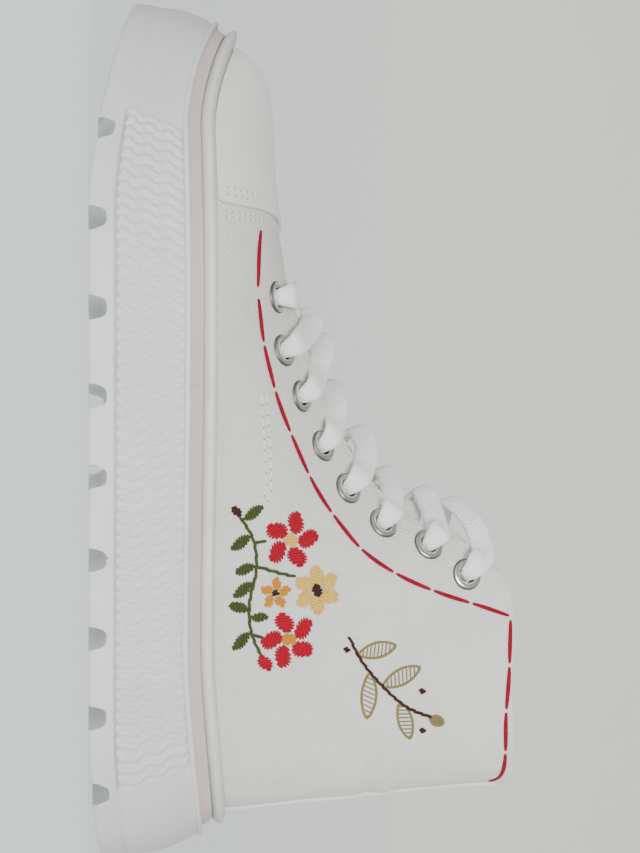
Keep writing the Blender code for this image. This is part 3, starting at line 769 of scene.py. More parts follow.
def pull_tread(along, across):
    """Rungs across the tread, outer side to inner side, dropping into the grooves."""
    place = HALF_PLACES[np.rint(along * (len(HALF_PLACES) - 1)).astype(int)]
    near = lug_points(place, 0 * place)
    far = lug_points(LOOP - place, 0 * place)
    points = near + (far - near) * across[:, None]
    inside = (across > 0.001) & (across < 0.999)
    points[inside, 2] = tread(points[inside, 0]) + groove(points[inside, 0])
    return (points + CENTRE) * MM


def pull_deck(height, out, places):
    """Rungs across a floor that follows the deck, for the cup and for the insole."""
    def pull(along, across):
        place = places[np.rint(along * (len(places) - 1)).astype(int)]
        near = side_points(place, deck, height, out + 0 * place, 0.0)
        far = side_points(LOOP - place, deck, height, out + 0 * place, 0.0)
        return (near + (far - near) * across[:, None] + CENTRE) * MM
    return pull


sole_shape = pulled_grid(SIDE_COLUMNS, SIDE_ROWS, pull_side, lambda row: int(BAND_FIRST <= row < BAND_LAST))
tread_shape = pulled_grid(SIDE_COLUMNS // 2, TREAD_ROWS, pull_tread)
cup_shape = pulled_grid(SIDE_COLUMNS // 2, 1, pull_deck(-CUP_DEPTH, CLEAR, HALF_PLACES))
join_shapes(sole_shape, tread_shape, cup_shape)
bmesh.ops.recalc_face_normals(sole_shape, faces=sole_shape.faces)
sole = finish_piece("sole_rubber_body", sole_shape, [SOLE_RUBBER, BAND_RUBBER], 40)
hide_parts("sole")

# %% [markdown]
# ## The foxing roll and the insole
# A rounded strip of rubber hides the joint of upper and sole. Its section is a half round, so a short
# strip of rows bent round an arc and wrapped about the foot is enough, with a thin lip where it is glued
# to the cloth. The insole is a flat sheet given its thickness.

# %% Roll and insole
ROLL_LOW, ROLL_HIGH = 3.95, 8.3
ROLL_FACE, ROLL_BELLY = 0.7, 4.7
ROLL_ARC = 16
ROLL_LIP = 0.5
LIP_CLEAR = 0.15
TO_CLOTH = -1.0
ROLL_COLUMNS = 760
INSOLE_TOP = 1.4
INSOLE_EDGE = -2.9
INSOLE_THICK = 4.0
INSOLE_COLUMNS, INSOLE_ROWS = 200, 12


def roll_section():
    """Height and distance out of each row of the roll: back, under, half round, over, back."""
    turns = np.linspace(-np.pi / 2, np.pi / 2, ROLL_ARC + 1)
    heights = (ROLL_LOW + ROLL_HIGH) / 2 + (ROLL_HIGH - ROLL_LOW) / 2 * np.sin(turns)
    outs = ROLL_FACE + (ROLL_BELLY - ROLL_FACE) * np.cos(turns)
    under = ROLL_HIGH - ROLL_LIP
    inside = [(ROLL_HIGH, TO_CLOTH), (under, TO_CLOTH), (under, CLEAR), (ROLL_LOW, CLEAR)]
    return np.array([(ROLL_LOW, CLEAR), *zip(heights, outs), *inside])


ROLL_ROWS = roll_section()


def up_at_height(place, height):
    """Where each rib reaches a height."""
    low, high = np.zeros_like(place), np.ones_like(place)
    for _ in range(24):
        middle = 0.5 * (low + high)
        below = last_points(place, middle)[..., 2] < height
        low, high = np.where(below, middle, low), np.where(below, high, middle)
    return 0.5 * (low + high)


def pull_roll(across, up):
    """Places of the roll's corners; its thin upper lip reaches in to the cloth."""
    place = across * LOOP
    height, out = ROLL_ROWS[np.rint(up * (len(ROLL_ROWS) - 1)).astype(int)].T
    foot = ribs_plain(place)[..., :2]
    cloth = last_points(place, up_at_height(place, deck(foot[..., 0]) + ROLL_HIGH))[..., :2]
    lean = np.sum((cloth - foot) * outward(place), axis=-1)
    out = np.where(out == TO_CLOTH, np.minimum(CLEAR, lean + LIP_CLEAR), out)
    return (side_points(place, deck, height, out, 0.0) + CENTRE) * MM


roll_shape = join_shapes(pulled_grid(ROLL_COLUMNS, len(ROLL_ROWS) - 1, pull_roll))
bmesh.ops.recalc_face_normals(roll_shape, faces=roll_shape.faces)
roll = finish_piece("roll_of_rubber", roll_shape, [ROLL_RUBBER], 50)
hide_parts("foxing_roll")

insole_pull = pull_deck(INSOLE_TOP, INSOLE_EDGE, np.linspace(0, HEEL_ROW, INSOLE_COLUMNS + 1))
insole_shape = face_outward(join_shapes(pulled_grid(INSOLE_COLUMNS, INSOLE_ROWS, insole_pull)), (0, 0, 0))
insole = finish_piece("insole_sheet", insole_shape, [LINING])
give_wall(insole, INSOLE_THICK, -1, 0.8)
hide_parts("insole")

# %% [markdown]
# ## The canvas upper
# One sheet of canvas goes round the last, sewn shut along the ridge ahead of the throat. The Solidify
# modifier gives it its two millimetres and puts lining on the inside. The turned-in hem along throat and
# collar is a low step. Each eyelet hole is punched out of the sheet before it is thickened.

# %% Pull the canvas over the last
UPPER_COLUMNS, UPPER_ROWS = 20 * LOOP, 64
HEM_WIDTH = 6.5
HEM_RISE = 0.35
HEM_STEP = 0.8
HEM_START = VAMP_ROW + 0.3
HEM_GROWS = 0.3
HOLE_RADIUS = 3.3
EYELETS = 8
SIDES = ("outer", "inner")


def length_below_crown(place, up):
    """Length of cloth from the crown down to each point."""
    columns, which = np.unique(place, return_inverse=True)
    ups, gone = crown_inset(columns)
    spot = (1.0 - up) * (len(ups) - 1)
    low = np.clip(np.floor(spot).astype(int), 0, len(ups) - 2)
    part = spot - low
    return gone[which, low] * (1 - part) + gone[which, low + 1] * part


def pull_upper(across, up):
    """Places of the canvas, with the hem raised along throat and collar."""
    place = across * LOOP
    hem = np.clip((HEM_WIDTH - length_below_crown(place, up)) / HEM_STEP, 0, 1)
    open_edge = np.clip((row_of(place) - HEM_START) / HEM_GROWS, 0, 1)
    return skin(place, up, HEM_RISE * hem * open_edge)


def punch(shape, spot, radius):
    """Cuts a round hole in a sheet and draws its edge to a true circle."""
    inside = [face for face in shape.faces if (face.calc_center_median() - spot).length < radius]
    bmesh.ops.delete(shape, geom=inside, context="FACES")
    ring = [vert for vert in shape.verts if vert.is_boundary and (vert.co - spot).length < 1.7 * radius]
    for vert in ring:
        vert.co = spot + (vert.co - spot).normalized() * radius
    bmesh.ops.remove_doubles(shape, verts=ring, dist=0.25 * radius)


upper_shape = face_outward(join_shapes(pulled_grid(UPPER_COLUMNS, UPPER_ROWS, pull_upper)), (0, 0, 60))
CLOTH = BVHTree.FromBMesh(upper_shape)
Eyelet = namedtuple("Eyelet", "spot axis node")
EYELET_SET = {}
for side in SIDES:
    for number in range(1, EYELETS + 1):
        node = f"eyelet_{side}_{number}"
        low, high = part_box(node)
        spot, axis, *_ = CLOTH.find_nearest((low + high) / 2)
        EYELET_SET[side, number] = Eyelet(spot, axis, node)
for eyelet in EYELET_SET.values():
    punch(upper_shape, eyelet.spot, HOLE_RADIUS * MM)
upper = finish_piece("canvas_upper", upper_shape, [CANVAS, LINING])
give_wall(upper, WALL, -1, 0.35).use_clamp_overlap = False
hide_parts("upper")

# %% [markdown]
# ## Toe cap, heel tape and tongue
# The overlays follow the upper's own form a fraction of a millimetre outside it, so their edges throw the
# thin dark line that the eye reads as a sewn-on layer. The tongue lies under the two flaps and bows up in
# the gap.

# %% Overlays and tongue
CAP_END = 3.5
CAP_LEAN = 0.19
CAP_THICK = 1.2
STRIP_SPAN = 0.42
STRIP_THICK = 1.0
OVERLAY_GAP = 0.2
ON_CLOTH = 0.05
OVERLAY_FOOT = 8.35
TONGUE_FIRST, TONGUE_LAST = VAMP_ROW - 0.35, VAMP_ROW + 3.815
TONGUE_WING = 14.0
TONGUE_EDGE, TONGUE_BACK = 1.0, 7.0
WING_SHARE = 0.3
TONGUE_BOW = 0.35
TONGUE_THICK = 2.6
TONGUE_DEPTH = -WALL - 1.3
CAP_GRID, STRIP_GRID, TONGUE_GRID = (140, 36), (16, 60), (90, 40)


def above_roll(place, share):
    """Heights on the ribs from just above the foxing roll to the crown."""
    start = up_at_height(place, deck(ribs_plain(place)[..., 0]) + OVERLAY_FOOT)
    return start + (1.0 - start) * share


def pull_cap(across, up):
    place = (CAP_END + CAP_LEAN * np.sqrt(up)) * (2 * across - 1)
    return skin(place, above_roll(place, up), OVERLAY_GAP)


def pull_strip(across, up):
    place = HEEL_ROW + STRIP_SPAN * (2 * across - 1)
    return skin(place, np.minimum(NEAR_CROWN, above_roll(place, up)), ON_CLOTH)


def tongue_side(place, depth):
    return skin(place, up_below_crown(place, depth), TONGUE_DEPTH)


def pull_tongue(along, across):
    """Across the tongue: under the outer flap, over the gap on a smooth curve, under the inner flap."""
    row = TONGUE_FIRST + (TONGUE_LAST - TONGUE_FIRST) * along
    wing = np.clip(np.minimum(across, 1 - across) / WING_SHARE, 0, 1)
    depth = TONGUE_WING + (TONGUE_EDGE - TONGUE_WING) * wing
    outer, inner = tongue_side(row, depth), tongue_side(LOOP - row, depth)
    start, end = tongue_side(row, TONGUE_EDGE), tongue_side(LOOP - row, TONGUE_EDGE)
    reach = TONGUE_BOW * np.linalg.norm(end - start, axis=1, keepdims=True)
    pull_start = start + reach * unit(start - tongue_side(row, TONGUE_BACK))
    pull_end = end + reach * unit(end - tongue_side(LOOP - row, TONGUE_BACK))
    share = np.clip((across - WING_SHARE) / (1 - 2 * WING_SHARE), 0, 1)[:, None]
    bow = bend(start, pull_start, pull_end, end, share)
    on_outer, on_inner = (across < WING_SHARE)[:, None], (across > 1 - WING_SHARE)[:, None]
    return np.where(on_outer, outer, np.where(on_inner, inner, bow))


cap_shape = face_outward(join_shapes(pulled_grid(*CAP_GRID, pull_cap)), (-60, 0, 30))
cap = finish_piece("toe_cap_shell", cap_shape, [CAP_LEATHER])
give_wall(cap, CAP_THICK, 1, 0.4)
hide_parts("toe_cap")
strip_shape = face_outward(pulled_grid(*STRIP_GRID, pull_strip), (0, 0, 60))
strip = finish_piece("heel_tape_strip", strip_shape, [TAPE])
give_wall(strip, STRIP_THICK, 1, 0.3)
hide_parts("heel_strip")
tongue_shape = face_outward(pulled_grid(*TONGUE_GRID, pull_tongue), (0, 0, 20))
tongue = finish_piece("tongue_cloth_pad", tongue_shape, [CANVAS])
give_wall(tongue, TONGUE_THICK, -1, 0.9)
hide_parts("tongue")

# %% [markdown]
# ## Eyelets
# A rolled eyelet is a short brass tube with its end curled over into a flange. Spinning half of its
# section about the axis gives the whole ring.

# %% Spin the eyelets
EYELET_SECTION = [(2.9, -2.5), (2.9, 0.2), (3.0, 0.5), (3.25, 0.75), (3.7, 0.9), (4.3, 0.88), (4.8, 0.7),
                  (5.1, 0.42), (5.25, 0.1), (5.2, 0.0), (4.6, 0.0), (3.15, 0.0), (3.15, -2.5)]
EYELET_STEPS = 40
# Past RIM_OUTER and inside RIM_INNER the ring takes the darker nickel, which is painted shade.
RIM_OUTER = 4.93
RIM_INNER = 3.1


def spin_eyelet(eyelet):
    """One ring, turned about its own axis and set on the cloth."""
    shape = bmesh.new()
    corners = [shape.verts.new((radius * MM, 0.0, height * MM)) for radius, height in EYELET_SECTION]
    edges = [shape.edges.new(pair) for pair in zip(corners, corners[1:] + corners[:1])]
    bmesh.ops.spin(shape, geom=corners + edges, cent=(0, 0, 0), axis=(0, 0, 1), dvec=(0, 0, 0),
                   angle=2 * math.pi, steps=EYELET_STEPS, use_merge=True)
    bmesh.ops.recalc_face_normals(shape, faces=shape.faces)
    # Painted shade: faces at the flange's outer edge and inside the tube take the darker nickel.
    for face in shape.faces:
        reach = face.calc_center_median().xy.length / MM
        face.material_index = int(reach > RIM_OUTER or reach < RIM_INNER)
    turn = Vector((0, 0, 1)).rotation_difference(eyelet.axis).to_matrix().to_4x4()
    bmesh.ops.transform(shape, matrix=Matrix.Translation(eyelet.spot) @ turn, verts=shape.verts)
    ring = finish_piece("ring_" + eyelet.node, shape, [NICKEL, SHADED_NICKEL_EDGE], 50)
    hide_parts(eyelet.node)


for eyelet in EYELET_SET.values():
    spin_eyelet(eyelet)

# %% [markdown]
# ## The lace
# One flat cotton lace serves the whole shoe. It starts as a bar over the first pair, dips into both
# eyelets, comes back under each flap, crosses in the gap and goes down into the next eyelet opposite. A
# physics rope would slide about, so its path is set by key points taken from the eyelets and the throat
# edge. Its section is a soft flat oval that bunches where it enters a ring. The lacing is slack and stands
# off the tongue, so one table places each strand, in mm: where it lies over the flap's edge, half
# way in, and at the middle, where it crosses its twin. y counts from the middle, for both sides. The
# strand that ends on the outer side stands on its edge there and turns its flat side outward; its twin
# lies flat below it. A second table leads it into a ring, by steps back from the hole and up from the
# cloth. The hidden ends stop inside the top pair.

# %% Tables for the lace
Strand = namedtuple("Strand", "pair over_x over_y over_z half_x half_y half_z top_x top_z")
STRANDS = [
    Strand(1, -43.2, 13.0, 66.4, -44.3, 7.0, 68.9, -45.6, 70.3),
    Strand(2, -32.2, 14.5, 71.2, -35.9, 8.0, 73.6, -39.4, 72.8),
    Strand(3, -18.3, 15.0, 74.1, -25.8, 8.0, 77.0, -30.9, 77.8),
    Strand(4, -2.1, 16.0, 79.7, -9.2, 8.5, 81.4, -14.7, 81.0),
    Strand(5, 13.3, 16.5, 89.5, 6.7, 9.0, 92.2, 1.3, 91.0),
    Strand(6, 26.3, 17.5, 98.9, 20.5, 9.5, 100.9, 15.4, 100.8),
    Strand(7, 35.5, 19.0, 114.5, 28.5, 10.5, 114.9, 22.6, 114.4),
    Strand(8, 42.2, 20.5, 130.0, 32.2, 11.0, 129.3, 26.6, 124.5),
]
LACE_WIDTH = 8.2
LACE_THICK = 2.8
BAR_WIDTH = 9.0
Entry = namedtuple("Entry", "back rise upright onward width thick")
ENTRIES = [
    Entry(4.8, 3.3, 1, 0, LACE_WIDTH, LACE_THICK + 0.4),
    Entry(1.6, 2.3, 1, 1, 6.6, 3.0),
    Entry(0.0, -0.8, 0, 1, 4.8, 3.0),
    Entry(0.0, -4.2, -1, 1, 4.6, 1.6),
]
LIE_FLAT = 3.2
UNDER_FLAP = -WALL - 0.75
STANDING = Vector((-0.85, -0.5, -0.1))
LEAVE_SHARE, EDGE_SHARE, RISE_SHARE = 0.05, 0.1, 0.4
HIDDEN_UP, FLAP_UP = 0.9, 0.95
HIDDEN_SIZE, EDGE_SIZE, RISE_SIZE = (6.4, 1.0), (7.0, 1.0), (7.6, 1.8)
OVAL_WIDE, OVAL_THICK = 0.75, 0.8
EYELET_INSET = 12.6
LACE_ROUND = 18
SAMPLES = 14
Key = namedtuple("Key", "point square width thick")
throat_rows = np.linspace(VAMP_ROW + 0.15, VAMP_ROW + 5.6, 700)
print("pairs of eyelets to lace:", len(STRANDS))

# %% Where the lace meets the shoe


def eyelet_place(side, number):
    """The place round the last that an eyelet stands at."""
    places = throat_rows if side == "outer" else LOOP - throat_rows
    line = skin(places, up_below_crown(places, EYELET_INSET))
    return places[np.argmin(np.linalg.norm(line - np.array(EYELET_SET[side, number].spot), axis=1))]


PLACES = {key: eyelet_place(*key) for key in EYELET_SET}


def on_skin(place, up, out):
    return Vector(skin(np.array([place]), np.array([up]), np.array([out]))[0])


def gap_middle(pair):
    """Middle of the gap between the flaps' edges at a pair of eyelets, in mm."""
    outer, inner = (on_skin(PLACES[side, pair], 1.0, 0.0) for side in SIDES)
    return (outer + inner) / 2 / MM


def gap_face(pair):
    """Direction that faces up from the gap, square to the throat's slope."""
    ahead = gap_middle(min(pair + 1, EYELETS)) - gap_middle(max(pair - 1, 1))
    return Vector((-ahead.z, 0, ahead.x)).normalized()


def over_gap(side, pair, sign):
    """Keys over the gap on the way to one side: middle, half way, flap's edge."""
    row = STRANDS[pair - 1]
    turn = -1 if side == "outer" else 1
    middle, face = gap_middle(pair), gap_face(pair)
    axis = EYELET_SET[side, pair].axis
    width = LACE_WIDTH if pair > 1 else BAR_WIDTH
    top = Vector((row.top_x, 0, row.top_z))
    half = Vector((row.half_x, turn * row.half_y, row.half_z))
    over = Vector((row.over_x, turn * row.over_y, row.over_z))
    if pair > 1 and side == "outer":
        faces = (STANDING, STANDING, axis + 0.7 * STANDING)
    else:
        faces = (face, face + 0.5 * axis, axis + 0.3 * face)
    if pair > 1 and side == "inner":
        top, half = (spot - face * ((spot - middle).dot(face) - LIE_FLAT) for spot in (top, half))
    return [Key(point * MM, flat * sign, width, LACE_THICK) for point, flat in zip((top, half, over), faces)]


# %% Strands from eyelet to eyelet


def into_eyelet(side, number, over, sign):
    """Keys from the throat edge down into an eyelet; the lace bunches as it enters."""
    spot, axis, _ = EYELET_SET[side, number]
    away = spot - over
    away = (away - axis * away.dot(axis)).normalized()
    keys = []
    for entry in ENTRIES:
        point = spot - away * entry.back * MM + axis * entry.rise * MM
        square = axis * entry.upright + away * entry.onward
        keys.append(Key(point, square * sign, entry.width, entry.thick))
    return keys


def strand(start_side, number, end_side, sign):
    """Keys of one strand: from inside an eyelet, under its flap, over the gap and into the one opposite."""
    here, beyond = PLACES[start_side, number], PLACES[start_side, number + 1]
    leave, edge = here + LEAVE_SHARE * (beyond - here), here + EDGE_SHARE * (beyond - here)
    flap = Vector(square_to(np.array([leave]), np.array([FLAP_UP]))[0])
    gap = over_gap(end_side, number + 1, sign)
    rise = on_skin(edge, 1.0, -WALL).lerp(gap[0].point, RISE_SHARE)
    keys = [Key(on_skin(leave, HIDDEN_UP, UNDER_FLAP), flap * sign, *HIDDEN_SIZE),
            Key(on_skin(edge, 1.0, UNDER_FLAP), flap * sign, *EDGE_SIZE),
            Key(rise, gap[0].square + flap * sign, *RISE_SIZE)]
    return keys + gap + into_eyelet(end_side, number + 1, gap[-1].point, sign)


def arm(side):
    """Keys from the middle of the first bar to the top eyelet, changing sides at each pair."""
    sign = 1.0
    keys = over_gap(side, 1, sign)
    keys += into_eyelet(side, 1, keys[-1].point, sign)
    for number in range(1, EYELETS):
        other = SIDES[1 - SIDES.index(side)]
        sign = -sign
        keys += strand(side, number, other, sign)
        side = other
    return keys


# %% Carry a flat oval along the path
lace_keys = arm("outer")[:0:-1] + arm("inner")
key_rows = np.array([(*key.point, *key.square.normalized(), key.width, key.thick) for key in lace_keys])
RINGS = smooth_rows(key_rows, SAMPLES)
print("lace length in mm:", round(length_of(RINGS[:, :3]) / MM))
lace_ahead = unit(np.gradient(RINGS[:, :3], axis=0))
LACE_ACROSS = unit(np.cross(lace_ahead, RINGS[:, 3:6]))
LACE_FACE = np.cross(LACE_ACROSS, lace_ahead)


def pull_lace(along, around):
    """Places of the lace's corners: a flat oval carried along the path."""
    ring = np.rint(along * (len(RINGS) - 1)).astype(int)
    turn = 2 * np.pi * around
    half, thick = RINGS[ring, 6] / 2, RINGS[ring, 7] / 2
    aside = np.sign(np.cos(turn)) * np.abs(np.cos(turn)) ** OVAL_WIDE
    rise = np.sign(np.sin(turn)) * np.abs(np.sin(turn)) ** OVAL_THICK
    spread = LACE_ACROSS[ring] * (half * aside)[:, None]
    return RINGS[ring, :3] + MM * (spread + LACE_FACE[ring] * (thick * rise)[:, None])


lace_shape = join_shapes(pulled_grid(len(RINGS) - 1, LACE_ROUND, pull_lace))
bmesh.ops.holes_fill(lace_shape, edges=[edge for edge in lace_shape.edges if edge.is_boundary], sides=0)
bmesh.ops.recalc_face_normals(lace_shape, faces=lace_shape.faces)
lace = finish_piece("lace_run", lace_shape, [LACE])
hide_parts("lace_bar", *[f"lace_cross_{number}" for number in range(2, EYELETS + 1)])

# %% [markdown]
# ## Seams and running stitch
# Sewing thread is laid on the cloth as short rods, one mesh for each kind. Paths drawn in the side view
# are dropped on the cloth by rays, so a stitch follows creases and curve. The heavy red running stitch is
# ornament in stranded cotton: three strands side by side.

# %% Stitch helpers
PATH_STEPS = 24
FAR_OFF = 300.0
PRICK_LOW, PRICK_HIGH = 0.3, 0.1


def walk(path, marks):
    """Points at set lengths along a path."""
    run = run_along(path)
    return np.column_stack([np.interp(marks, run, axis) for axis in path.T])


def evenly(path, count):
    """Points spaced evenly along a whole path."""
    return walk(path, np.linspace(0, length_of(path), count))


def smooth_path(points):
    """A smooth line through given points."""
    return smooth_rows(np.array(points, float), PATH_STEPS)


def on_cloth(flat, side, rise):
    """Side-view points, x and z in mm, dropped on the cloth and raised a little."""
    placed = []
    for x, z in flat:
        spot, square, *_ = CLOTH.ray_cast(Vector((x, side * FAR_OFF, z)) * MM, Vector((0, -side, 0)))
        if spot is not None:
            placed.append(spot + square * rise * MM)
    return np.array(placed)


def running(path, pitch, gap, unit_length=1.0):
    """Cuts a path into even stitches that fill it, a gap after each; the unit is 1 for mm, MM for metres."""
    whole = length_of(path) / unit_length + gap
    count = max(1, round(whole / pitch))
    starts = whole / count * np.arange(count)
    return [walk(path, np.linspace(start, start + whole / count - gap, 5) * unit_length) for start in starts]


def pricks(stitches):
    """Short rods set upright in the cloth at the needle holes between stitches."""
    rods = []
    for before, after in zip(stitches, stitches[1:]):
        spot = Vector((before[-1] + after[0]) / 2)
        square = CLOTH.find_nearest(spot)[1]
        rods.append((spot - square * PRICK_LOW * MM, spot + square * PRICK_HIGH * MM))
    return rods


def beside(path, distance):
    """A side-view path moved sideways."""
    ahead = unit(np.gradient(path, axis=0))
    return path + distance * np.column_stack((-ahead[:, 1], ahead[:, 0]))


# %% Seams of the toe cap and the quarter
CAP_TOP = CAP_THICK + OVERLAY_GAP
CAP_SEAMS = ((0.10, CAP_TOP), (0.20, CAP_TOP), (-0.10, ON_CLOTH), (-0.18, ON_CLOTH))
CAP_STITCH, CAP_STITCH_GAP = 2.7, 0.7
SEAM = smooth_path([(-9.6, 52.7), (4.3, 53.6), (18.1, 54.2), (22.5, 53.2), (24.1, 51.0)])
SEAM_STITCH, SEAM_GAP, SEAM_APART = 3.4, 0.8, 0.9
CAP_THREAD, SEAM_THREAD, HOLE_WIDE = 0.3, 0.36, 0.33
cap_rows = []
seam_rows = []
holes = []
for side in (-1, 1):
    for offset, out in CAP_SEAMS:
        climb = np.linspace(0.03, 0.995, 160)
        place = side * (CAP_END + CAP_LEAN * np.sqrt(climb) - offset)
        row = running(skin(place, above_roll(place, climb), out), CAP_STITCH, CAP_STITCH_GAP, MM)
        holes += pricks(row)
        cap_rows += row
lay_threads("toe_cap_stitching", cap_rows, CAP_THREAD, WHITE_THREAD)
for side in (-1, 1):
    for offset in (-SEAM_APART, SEAM_APART):
        stitches = running(beside(SEAM, offset), SEAM_STITCH, SEAM_GAP)
        row = [on_cloth(stitch, side, 0.1) for stitch in stitches]
        holes += pricks(row)
        seam_rows += row
lay_threads("quarter_seam_stitching", seam_rows, SEAM_THREAD, WHITE_THREAD)
NEEDLE_HOLE = new_finish("shaded needle hole", 0.95, Base_Color=hex_colour("#aaa69e"))[0]
lay_threads("needle_holes", holes, HOLE_WIDE, NEEDLE_HOLE, blunt=1.0)

# %% Red running stitch
RED_FLOSS = floss("red stranded cotton", "#a80c30", "#7d0723")
RED_START = [(-61.6, 52.8), (-53.0, 51.6), (-43.2, 51.2)]
RED_FRONT = [(-39.5, 51.4), (-25.0, 53.1), (-9.5, 57.2), (5.2, 63.3), (20.0, 70.6), (32.0, 79.0),
             (41.0, 87.2), (49.0, 99.5), (55.2, 113.5), (60.0, 127.5), (63.5, 137.3)]
RED_COLLAR = [(64.9, 137.6), (77.0, 135.6), (95.0, 133.6), (115.2, 135.6), (119.0, 135.4), (121.3, 133.6)]
RED_STITCH, RED_GAP = 15.2, 1.2
RED_POINTS = 16
RED_APART, RED_THREAD = 0.4, 0.34
red_strands = []
for side in (-1, 1):
    stitches = [smooth_path(RED_START)]
    for line in (RED_FRONT, RED_COLLAR):
        stitches += running(smooth_path(line), RED_STITCH, RED_GAP)
    for stitch in stitches:
        dense = evenly(stitch, RED_POINTS)
        pinch = np.sin(np.linspace(0.4, np.pi - 0.4, RED_POINTS))[:, None]
        for offset in (-RED_APART, 0.0, RED_APART):
            red_strands.append(on_cloth(beside(dense, offset * pinch), side, 0.2))
lay_threads("red_running_stitch", red_strands, RED_THREAD, RED_FLOSS)

# %% [markdown]
# ## Embroidery
# Two hand-sewn ornaments sit on the outer side: a bright posy near the sole, and a light sprig below the
# collar. A satin stitch fills a petal or a leaf with threads laid side by side, so each one is a fan of
# short rods. A stem is a row of overlapping stitches. Open leaves are only outlined and barred, so the
# canvas shows through.

# %% Satin, stem and outline stitches
FLOSS = {
    "red": floss("poppy red cotton", "#ba122e", "#9a0d24"),
    "yellow": floss("straw cotton", "#ebc766", "#d3aa4c"),
    "gold": floss("gold cotton", "#d89430", "#bd7c24"),
    "green": floss("leaf green cotton", "#4f582a", "#3a4220"),
    "brown": floss("bark brown cotton", "#4a2a24", "#331c19"),
    "olive": floss("olive gold cotton", "#958b54", "#756c40"),
}
OUTER = -1
SATIN_PITCH = 0.95
SATIN_RADIUS = 0.52
SATIN_LEAST = 0.35
SATIN_SLANT = 0.35
SATIN_RISE = 0.24
STEM_OVERLAP = 0.8
OUTLINE_RADIUS = 0.24
OUTLINE_RISE = (0.14, 0.3)
LEAF_BLUNT = 0.75
sewn = {colour: [] for colour in FLOSS}
fine = {colour: [] for colour in FLOSS}


def turned(points, x, z, angle):
    """Side-view points turned by an angle in degrees and moved to a place."""
    turn = math.radians(angle)
    along, aside = np.asarray(points, float).T
    return np.column_stack((x + along * math.cos(turn) - aside * math.sin(turn),
                            z + along * math.sin(turn) + aside * math.cos(turn)))


def half_width(share, width, blunt):
    """Half the width of a leaf along its length; blunt 1 gives a pointed leaf, less a round petal."""
    return 0.5 * width * np.sin(np.pi * share) ** blunt


def satin(colour, x, z, angle, length, width, blunt):
    """Fills a leaf or petal with slanting threads, laid side by side."""
    for mark in np.arange(SATIN_PITCH / 2, length, SATIN_PITCH):
        half = half_width(mark / length, width, blunt)
        if half > SATIN_LEAST:
            lean = SATIN_SLANT * half
            line = turned([(mark - lean, -half), (mark, 0), (mark + lean, half)], x, z, angle)
            sewn[colour].append(on_cloth(evenly(line, 6), OUTER, SATIN_RISE))


def stem(colour, points, stitch=4.2):
    """A line of long stitches, each starting beside the end of the one before."""
    path = smooth_path(points)
    for start in np.arange(0.0, length_of(path) - 1.0, stitch * STEM_OVERLAP):
        line = walk(path, np.linspace(start, min(start + stitch, length_of(path)), 7))
        slant = np.linspace(-0.25, 0.25, 7)[:, None]
        sewn[colour].append(on_cloth(beside(line, slant), OUTER, SATIN_RISE))


def flower(x, z, size, petals, colour, heart, turn):
    """Round petals about a small heart."""
    for petal in range(petals):
        angle = turn + 360.0 * petal / petals
        root = turned([(0.18 * size, 0)], x, z, angle)[0]
        satin(colour, *root, angle, 0.5 * size, 0.46 * size, 0.55)
    satin(heart, *turned([(-0.17 * size, 0)], x, z, turn)[0], turn, 0.34 * size, 0.34 * size, 0.5)


def open_leaf(colour, x, z, angle, length, width):
    """A leaf in outline with bars across, so that the cloth shows through."""
    shares = np.linspace(0, 1, 15)
    half = half_width(shares, width, LEAF_BLUNT)
    for edge in (half, -half):
        line = turned(np.column_stack((shares * length, edge)), x, z, angle)
        for rise in OUTLINE_RISE:
            fine[colour].append(on_cloth(beside(line, (rise - 0.22) * 2), OUTER, rise))
    for share in np.arange(0.14, 0.95, 0.1):
        reach = half_width(share, width, LEAF_BLUNT)
        ends = [(share * length - 0.5 * reach, -reach), (share * length + 0.3 * reach, reach)]
        fine[colour].append(on_cloth(evenly(turned(ends, x, z, angle), 5), OUTER, OUTLINE_RISE[0]))


# %% Posy and sprig
POSY_STEMS = (
    [(27.5, 45.0), (35.0, 49.3), (44.0, 50.3), (54.0, 48.3), (63.0, 48.8), (71.0, 52.0)],
    [(43.0, 50.3), (45.3, 57.0), (47.0, 63.0)],
    [(35.5, 49.6), (35.6, 53.5)],
    [(64.0, 49.2), (65.6, 52.5)],
)
POSY_LEAVES = (
    (33.5, 48.8, -60, 8.0, 3.8), (43.0, 50.3, -78, 7.5, 3.6), (48.0, 49.6, -58, 8.0, 3.8),
    (57.0, 48.3, -114, 7.5, 3.6), (63.5, 48.9, -50, 8.0, 3.8), (28.5, 45.8, 120, 8.0, 3.6),
    (58.6, 48.5, 84, 6.0, 3.2),
)
SPRIG_LEAVES = (
    (73.0, 84.0, 100, 13.0, 4.6), (78.5, 87.5, -5, 14.5, 4.8), (83.0, 91.5, 112, 14.0, 4.8),
    (88.0, 97.0, 18, 13.5, 4.6), (94.0, 107.5, 62, 5.5, 3.2),
)
for points in POSY_STEMS:
    stem("green", points)
for leaf in POSY_LEAVES:
    satin("green", *leaf, 0.9)
flower(35.5, 61.5, 13.0, 5, "red", "yellow", 20)
flower(51.5, 70.0, 11.0, 6, "yellow", "brown", 0)
flower(66.5, 61.0, 13.0, 5, "red", "gold", 52)
flower(51.8, 56.5, 7.0, 5, "gold", "brown", 30)
satin("red", 71.0, 52.0, 30, 5.5, 4.2, 0.6)
satin("brown", 27.5, 45.0, 215, 4.0, 2.8, 0.7)

